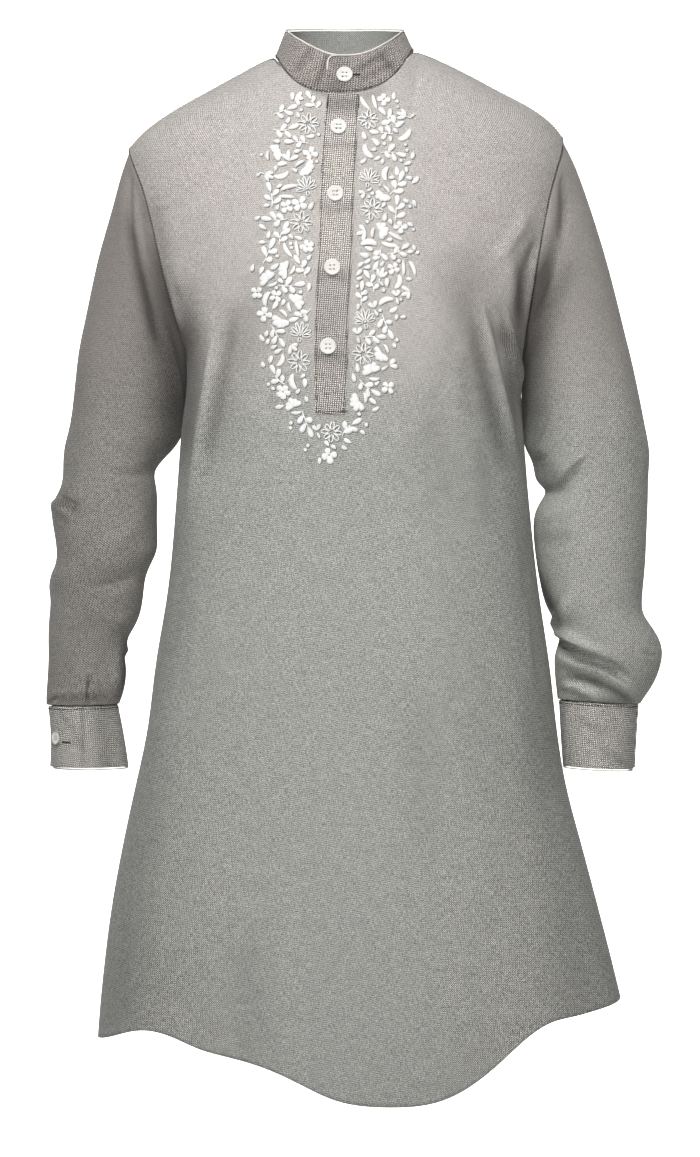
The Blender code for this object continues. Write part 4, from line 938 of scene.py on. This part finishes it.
def bud(dice, size):
    blobs = [leaf(0, 0, a, length * size, 3.2 * size, b)
             for a, length, b in ((-30, 8, 30), (2, 9, 0), (33, 7.5, -32))]
    return blobs + [thread_line(0, -5.5, 0, 6, 20), leaf(0, -3.6, 118, 5 * size, 2.6 * size, -20)]


def heart(dice, size):
    return [petal(0, 0, a, 6.6 * size, 4.0 * size, b) for a, b in ((-26, 26), (26, -26))] + [
        leaf(0, -1.3, 172, 6.5 * size, 2.8 * size, dice.uniform(-30, 30))]


def wave(dice, size):
    side = dice.choice([-1, 1])
    return [leaf(0, -0.8, 20 * side, 8.4 * size, 4.2 * size, -50 * side),
            leaf(0, 0.8, 200 * side, 8 * size, 4.0 * size, -50 * side)]


def trefoil(dice, size):
    return [leaf(0, 0, a + dice.uniform(-8, 8), dice.uniform(7, 9) * size, 3.6 * size, b)
            for a, b in ((-52, -25), (4, 10), (60, 25))]


def lone_leaf(dice, size):
    return [leaf(0, 0, 0, 8.2 * size, 4.0 * size, dice.uniform(-45, 45))]


def small_leaf(dice, size):
    return [leaf(0, 0, 0, 5.4 * size, 3.2 * size, dice.uniform(-30, 30))]


def small_dot(dice, size):
    return [dot(0, 0, 2.9 * size)]


def moved(blobs, x, z, turn):
    """A motif turned and carried to its place."""
    s, c = math.sin(math.radians(turn)), math.cos(math.radians(turn))
    return [b._replace(x=x + b.x * c + b.z * s, z=z - b.x * s + b.z * c, turn=b.turn + turn)
            for b in blobs]


def blob_places(blob, shares, sides):
    """Places on a blob for shares of its length and of its half width, by arrays."""
    bend = math.radians(blob.bend) if abs(blob.bend) > 0.5 else 0.0087
    start = math.radians(blob.turn) - bend / 2
    heading = start + bend * shares
    x = blob.x + blob.length / bend * (math.cos(start) - np.cos(heading))
    z = blob.z + blob.length / bend * (np.sin(heading) - math.sin(start))
    peak = blob.root / (blob.root + blob.tip)
    most = peak**blob.root * (1 - peak)**blob.tip
    inside = np.clip(shares, 0, 1)
    half = blob.width / 2 * inside**blob.root * (1 - inside)**blob.tip / most * sides
    return x + half * np.cos(heading), z - half * np.sin(heading)


def inside_line(x, z, line):
    """Which places lie inside a closed line."""
    hit = np.zeros(np.shape(x), bool)
    for (x1, z1), (x2, z2) in zip(line, line[1:] + line[:1]):
        crosses = (z1 > z) != (z2 > z)
        if z1 != z2:
            hit ^= crosses & (x < x1 + (x2 - x1) * (z - z1) / (z2 - z1))
    return hit


GRID_X, GRID_Z = np.meshgrid(np.arange(LOW_X, HIGH_X, CELL), np.arange(LOW_Z, HIGH_Z, CELL),
                             indexing="ij")
free = (inside_line(GRID_X, GRID_Z, OUTER_LEFT + INNER_LEFT)
        | inside_line(GRID_X, GRID_Z, OUTER_RIGHT + INNER_RIGHT))
# The outside of the band is ragged: it swells out to a motif, and draws in before the next.
for line in (OUTER_LEFT, OUTER_RIGHT):
    line = np.array(line, float)
    run = np.concatenate([[0], np.cumsum(np.linalg.norm(np.diff(line, axis=0), axis=1))])
    for k, along in enumerate(np.arange(14, run[-1] - 8, RAGGED_STEP)):
        away = np.hypot(GRID_X - np.interp(along, run, line[:, 0]),
                        GRID_Z - np.interp(along, run, line[:, 1]))
        free = free | (away < SWELL_BY) if k % 2 else free & (away > DRAW_IN)
PROBE_SHARES, PROBE_SIDES = [a.ravel() for a in np.meshgrid(np.linspace(0, 1, 12),
                                                             np.linspace(-1, 1, 5))]
reach = int(CLEAR_GAP / CELL + 0.5)
ROUND = [(i, j) for i in range(-reach, reach + 1) for j in range(-reach, reach + 1)
         if math.hypot(i, j) * CELL <= CLEAR_GAP + 0.1]


def cells_of(blobs):
    """The grid cells that a motif's blobs cover."""
    spots = [blob_places(b, PROBE_SHARES, PROBE_SIDES) for b in blobs]
    x, z = (np.concatenate(s) for s in zip(*spots))
    return (np.clip(np.rint((x - LOW_X) / CELL).astype(int), 0, free.shape[0] - 1),
            np.clip(np.rint((z - LOW_Z) / CELL).astype(int), 0, free.shape[1] - 1))


def take(blobs):
    """Keeps a motif, and shuts its cells to the ones that come after it."""
    stitched.extend(blobs)
    i, j = cells_of(blobs)
    for di, dj in ROUND:
        free[np.clip(i + di, 0, free.shape[0] - 1), np.clip(j + dj, 0, free.shape[1] - 1)] = False


dice = np.random.default_rng(SEED)
stitched = []
for spot in DAISIES:
    take(daisy(*spot))
for spot in LOTUSES:
    take(lotus(*spot))
# Passes from the largest motifs to the smallest: how often one is tried, which, and their sizes.
for tries, makers, sizes in (
        (2500, (layered_flower, fan, sprig, sprig, curls), (1.2, 1.4)),
        (3000, (sprig, fan, curls, blossom), (1.1, 1.3)),
        (3500, (blossom, trefoil, bud, heart, curls), (1.05, 1.25)),
        (3500, (wave, lone_leaf, heart, blossom), (0.95, 1.15)),
        (3500, (lone_leaf, small_leaf, small_leaf, small_leaf, small_dot), (1.1, 1.3))):
    for _ in range(tries):
        maker = makers[dice.integers(len(makers))]
        motif = moved(maker(dice, dice.uniform(*sizes)), dice.uniform(-90, 66),
                      dice.uniform(-392, -34), dice.uniform(0, 360))
        if free[cells_of(motif)].mean() > LEAST_FREE:
            take(motif)


def tree_of(*pieces):
    """A search tree over the faces of some pieces as they now lie."""
    points, faces = [], []
    for piece in pieces:
        faces += [tuple(i + len(points) for i in p.vertices) for p in piece.data.polygons]
        points += [v.co.copy() for v in piece.data.vertices]
    return BVHTree.FromPolygons(points, faces)


def front_spot(x, z, tree):
    """The place and the way out on the front at a place in millimetres."""
    spot, normal = tree.ray_cast(Vector((x * MM, RAY_START, z * MM)), Vector((0, 1, 0)))[:2]
    return spot, normal if normal.y < 0 else -normal


# Laid cotton threads 0.5 mm thick run across each patch. They are drawn 0.8 mm apart, and give
# the white a fine ribbing and a soft sheen.
satin, satin_shader = new_material("white_satin_stitch", {"Roughness": 0.6, "Sheen Weight": 0.2})
satin_tree = satin.node_tree
laid = add_node(satin_tree, "UVMap", "UV")
ribs = add_node(satin_tree, "TexWave", "Fac", {"bands_direction": "Y", "Distortion": 0.6,
                                               "Scale": 2 * math.pi / (20 * RIB_PITCH)},
                {"Vector": laid})
ribbed = add_node(satin_tree, "Bump", 0, {"Strength": 0.5, "Distance": 0.3 * MM},
                  {"Height": ribs})
shade = add_node(satin_tree, "Mix", 2, {"data_type": "RGBA", 6: linear("#e9e8e4"),
                                        7: linear("#ffffff")}, {0: ribs})
satin_tree.links.new(ribbed, satin_shader.inputs["Normal"])
satin_tree.links.new(shade, satin_shader.inputs["Base Color"])


def copies(name, shape, spots):
    """A piece that repeats a shape, with the places of every copy's points."""
    piece = piece_from(shape, name)
    piece.modifiers.new("row", "ARRAY").count = len(spots)
    apply_modifiers(piece)
    move_points(piece, np.concatenate(spots))
    piece.data.shade_smooth()
    return piece


# A dark grey sheet under each patch's edge, shifted down and to the right: a painted shadow of
# the raised white threads, and no real thread.
shadow_outline_finish = plain_finish("painted_shadow_outline", "#4d4844", 0.85, 0.0, 0.2)[0]

front_tree = tree_of(front)
work = bmesh.new()
for full, shadow_outline, round_steps, long_steps in ((True, False, 10, 7), (False, False, 6, 7),
                                              (True, True, 8, 6), (False, True, 4, 6)):
    shape = bmesh.new()
    made = bmesh.ops.create_uvsphere(shape, u_segments=round_steps, v_segments=long_steps,
                                     radius=1.0)["verts"]
    sphere = np.array([v.co for v in made])
    shares = np.arccos(np.clip(-sphere[:, 2], -1, 1)) / math.pi
    ring = np.maximum(np.hypot(sphere[:, 0], sphere[:, 1]), 1e-6)
    sides, ups, domes = sphere[:, 0] / ring, sphere[:, 1] / ring, ring**0.4
    sides[ring < 1e-5] = ups[ring < 1e-5] = 0
    spots, cuts = [], []
    for blob in stitched:
        if (blob.width > THIN_WIDTH) != full:
            continue
        # The second shape of each patch is its painted shadow: a larger, lower dark copy shifted
        # down and to the right.
        if shadow_outline:
            x, z = off(blob.x, blob.z, blob.turn - blob.bend / 2, -SHADOW_OUTLINE_SPREAD)
            blob = blob._replace(x=x + SHADOW_OUTLINE_SHIFT[0], z=z + SHADOW_OUTLINE_SHIFT[1], rise=SHADOW_OUTLINE_RISE,
                                 length=blob.length + 2 * SHADOW_OUTLINE_SPREAD,
                                 width=blob.width + 2 * SHADOW_OUTLINE_SPREAD)
        xs, zs = blob_places(blob, shares, sides)
        places = []
        for x, z, up, dome in zip(xs, zs, ups, domes):
            spot, normal = front_spot(x, z, front_tree)
            places.append(spot + normal * (up * dome * blob.rise - 0.1) * MM)
        spots.append(np.array(places))
        cuts.append(np.column_stack([sides * blob.width, shares * blob.length]) * MM)
    part = copies("embroidery_part", shape, spots)
    layer = part.data.uv_layers.active or part.data.uv_layers.new()
    layer.name = "cut"
    corners = np.zeros(len(part.data.loops), int)
    part.data.loops.foreach_get("vertex_index", corners)
    layer.data.foreach_set("uv", np.concatenate(cuts)[corners].ravel())
    before = len(work.faces)
    work.from_mesh(part.data)
    bpy.data.objects.remove(part)
    work.faces.ensure_lookup_table()
    for face in work.faces[before:]:
        face.material_index = int(shadow_outline)
bmesh.ops.recalc_face_normals(work, faces=work.faces)
embroidery = piece_from(work, "floral_embroidery")
embroidery.data.materials.append(satin)
embroidery.data.materials.append(shadow_outline_finish)
embroidery.data.shade_smooth()
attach(embroidery, "root")


# ---- Topstitching and buttonholes ----
# Dark grey sewing thread: single rows along the placket, the collar's foot, the shoulder and
# armhole seams and the tops of the cuffs.
STITCH_LENGTH, STITCH_PITCH, STITCH_RADIUS, STITCH_LIFT = 2.1, 2.9, 0.5, 0.15
SEAM_INSET, PLACKET_INSET = 1.5, 1.7
PLACKET_TOP, PLACKET_FOOT = -42, -337.5
# The seams of the armhole and shoulder, in metres: from this far out and above this height.
ARMHOLE_X, ARMHOLE_FOOT, BACK_SEAM_TOP = 0.062, -0.262, -0.09


def even_steps(line, pitch):
    """Places along a line at even steps, with the way on at each."""
    found, carried = [], 0.0
    for a, b in zip(line, line[1:]):
        run = b - a
        while carried < run.length:
            found.append((a + run * (carried / run.length), run.normalized()))
            carried += pitch
        carried -= run.length
    return found


def sew(line, tree, pitch=STITCH_PITCH):
    """Lays stitches along a line of places, each on the nearest cloth."""
    for place, way in even_steps(line, pitch * MM):
        spot, normal = tree.find_nearest(place)[:2]
        side = normal.cross(way).normalized()
        up = way.cross(side)
        frame_of = np.array([side * STITCH_RADIUS, up * STITCH_RADIUS, way * STITCH_LENGTH / 2])
        seams.append(np.array(spot + normal * STITCH_LIFT * MM) + full_stitch @ frame_of * MM)


def sew_front(spots, tree, pitch=STITCH_PITCH):
    """Lays stitches along a line of places on the front, each x and z in millimetres."""
    sew([front_spot(x, z, tree)[0] for x, z in spots], tree, pitch)


def rim_runs(piece, wanted):
    """The edge of a sheet in unbroken runs, where wanted(place) holds, moved in a little."""
    work = bmesh.new()
    work.from_mesh(piece.data)
    left = {v.index: v for v in work.verts if v.is_boundary and wanted(v.co)}
    runs = []
    while left:
        def beside(vert):
            return [e.other_vert(vert) for e in vert.link_edges
                    if e.is_boundary and e.other_vert(vert).index in left]
        here = next((v for v in left.values() if len(beside(v)) < 2), next(iter(left.values())))
        run = []
        while here:
            del left[here.index]
            ways = [e.other_vert(here).co - here.co for e in here.link_edges if not e.is_boundary]
            inward = sum(ways, Vector()).normalized() if ways else Vector()
            run.append(here.co + inward * SEAM_INSET * MM)
            here = next(iter(beside(here)), None)
        runs.append(run)
    work.free()
    return [run for run in runs if len(run) > 8]


def edge_ring(piece, centre, turns, window, pick, inset, tree):
    """Places near the lower (min) or upper (max) edge of an upright band, round its centre."""
    points = points_of(piece)[0]
    bearings = np.arctan2(points[:, 0] - centre[0], centre[1] - points[:, 1])
    line = []
    for turn in turns:
        apart = np.abs((bearings - math.radians(turn) + math.pi) % (2 * math.pi) - math.pi)
        ahead = points[apart < window, 2]
        if not len(ahead):
            continue
        way = Vector((math.sin(math.radians(turn)), -math.cos(math.radians(turn)), 0))
        start = Vector((*centre, pick(ahead) + inset * MM))
        spot = tree.ray_cast(start + way * 0.2, -way)[0]
        if spot:
            line.append(spot)
    return line


shape = bmesh.new()
made = bmesh.ops.create_uvsphere(shape, u_segments=6, v_segments=5, radius=1.0)["verts"]
full_stitch = np.array([v.co for v in made])
full_stitch = np.sign(full_stitch) * np.abs(full_stitch) ** 0.8
seams = []

placket_tree = tree_of(bands["placket"], front)
corners = points_of(bands["placket"])[0] / MM
for side, pick in ((-1, np.min), (1, np.max)):
    sew_front([(pick(corners[np.abs(corners[:, 2] - z) < 2.5, 0]) - side * PLACKET_INSET, z)
               for z in np.arange(PLACKET_FOOT, PLACKET_TOP, 3.0)], placket_tree)
sew_front([(x, -336.9) for x in np.arange(-28, 3, 1.5)], placket_tree)
for top, foot in ((-17.4, -18.6), (10.4, 11.2)):
    sew_front([(top + (foot - top) * k / 6, -40.5 - 2.0 * k) for k in range(7)],
              placket_tree, 1.4)

collar_tree = tree_of(bands["collar"])
sew(edge_ring(bands["collar"], (0.0, 0.0), np.arange(-178, 182, 2.0), 0.03, np.min, 2.0,
              collar_tree), collar_tree)
for node, centre in (("cuff_right", (-0.247, -0.019)), ("cuff_left", (0.244, 0.016))):
    tree = tree_of(bands[node])
    sew(edge_ring(bands[node], centre, range(0, 364, 4), 0.06, np.max, -2.6, tree), tree)

# The buttonholes that show: close dark stitches round a slit, on the collar and the right cuff.
for tree, start, end, z in ((collar_tree, 5.0, 11.6, -20.2),
                            (tree_of(bands["cuff_right"]), -269.0, -261.5, -646.0)):
    for rise in (-0.5, 0.5):
        sew_front([(x, z + rise) for x in np.linspace(start, end, 6)], tree, 1.3)

for piece in (front, back):
    tree = tree_of(piece)
    for sign in (-1, 1):
        def beside_arm(place):
            return (place.x * sign > ARMHOLE_X and place.z > ARMHOLE_FOOT
                    and (piece == front or place.z < BACK_SEAM_TOP))
        for run in rim_runs(piece, beside_arm):
            sew(run, tree)

stitching = copies("topstitching", shape, seams)
# Polyester-cotton sewing thread: dark grey and matte.
stitching.data.materials.append(plain_finish("dark_sewing_thread", "#2e2926", 0.8, 0.1, 0.3)[0])
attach(stitching, "root")
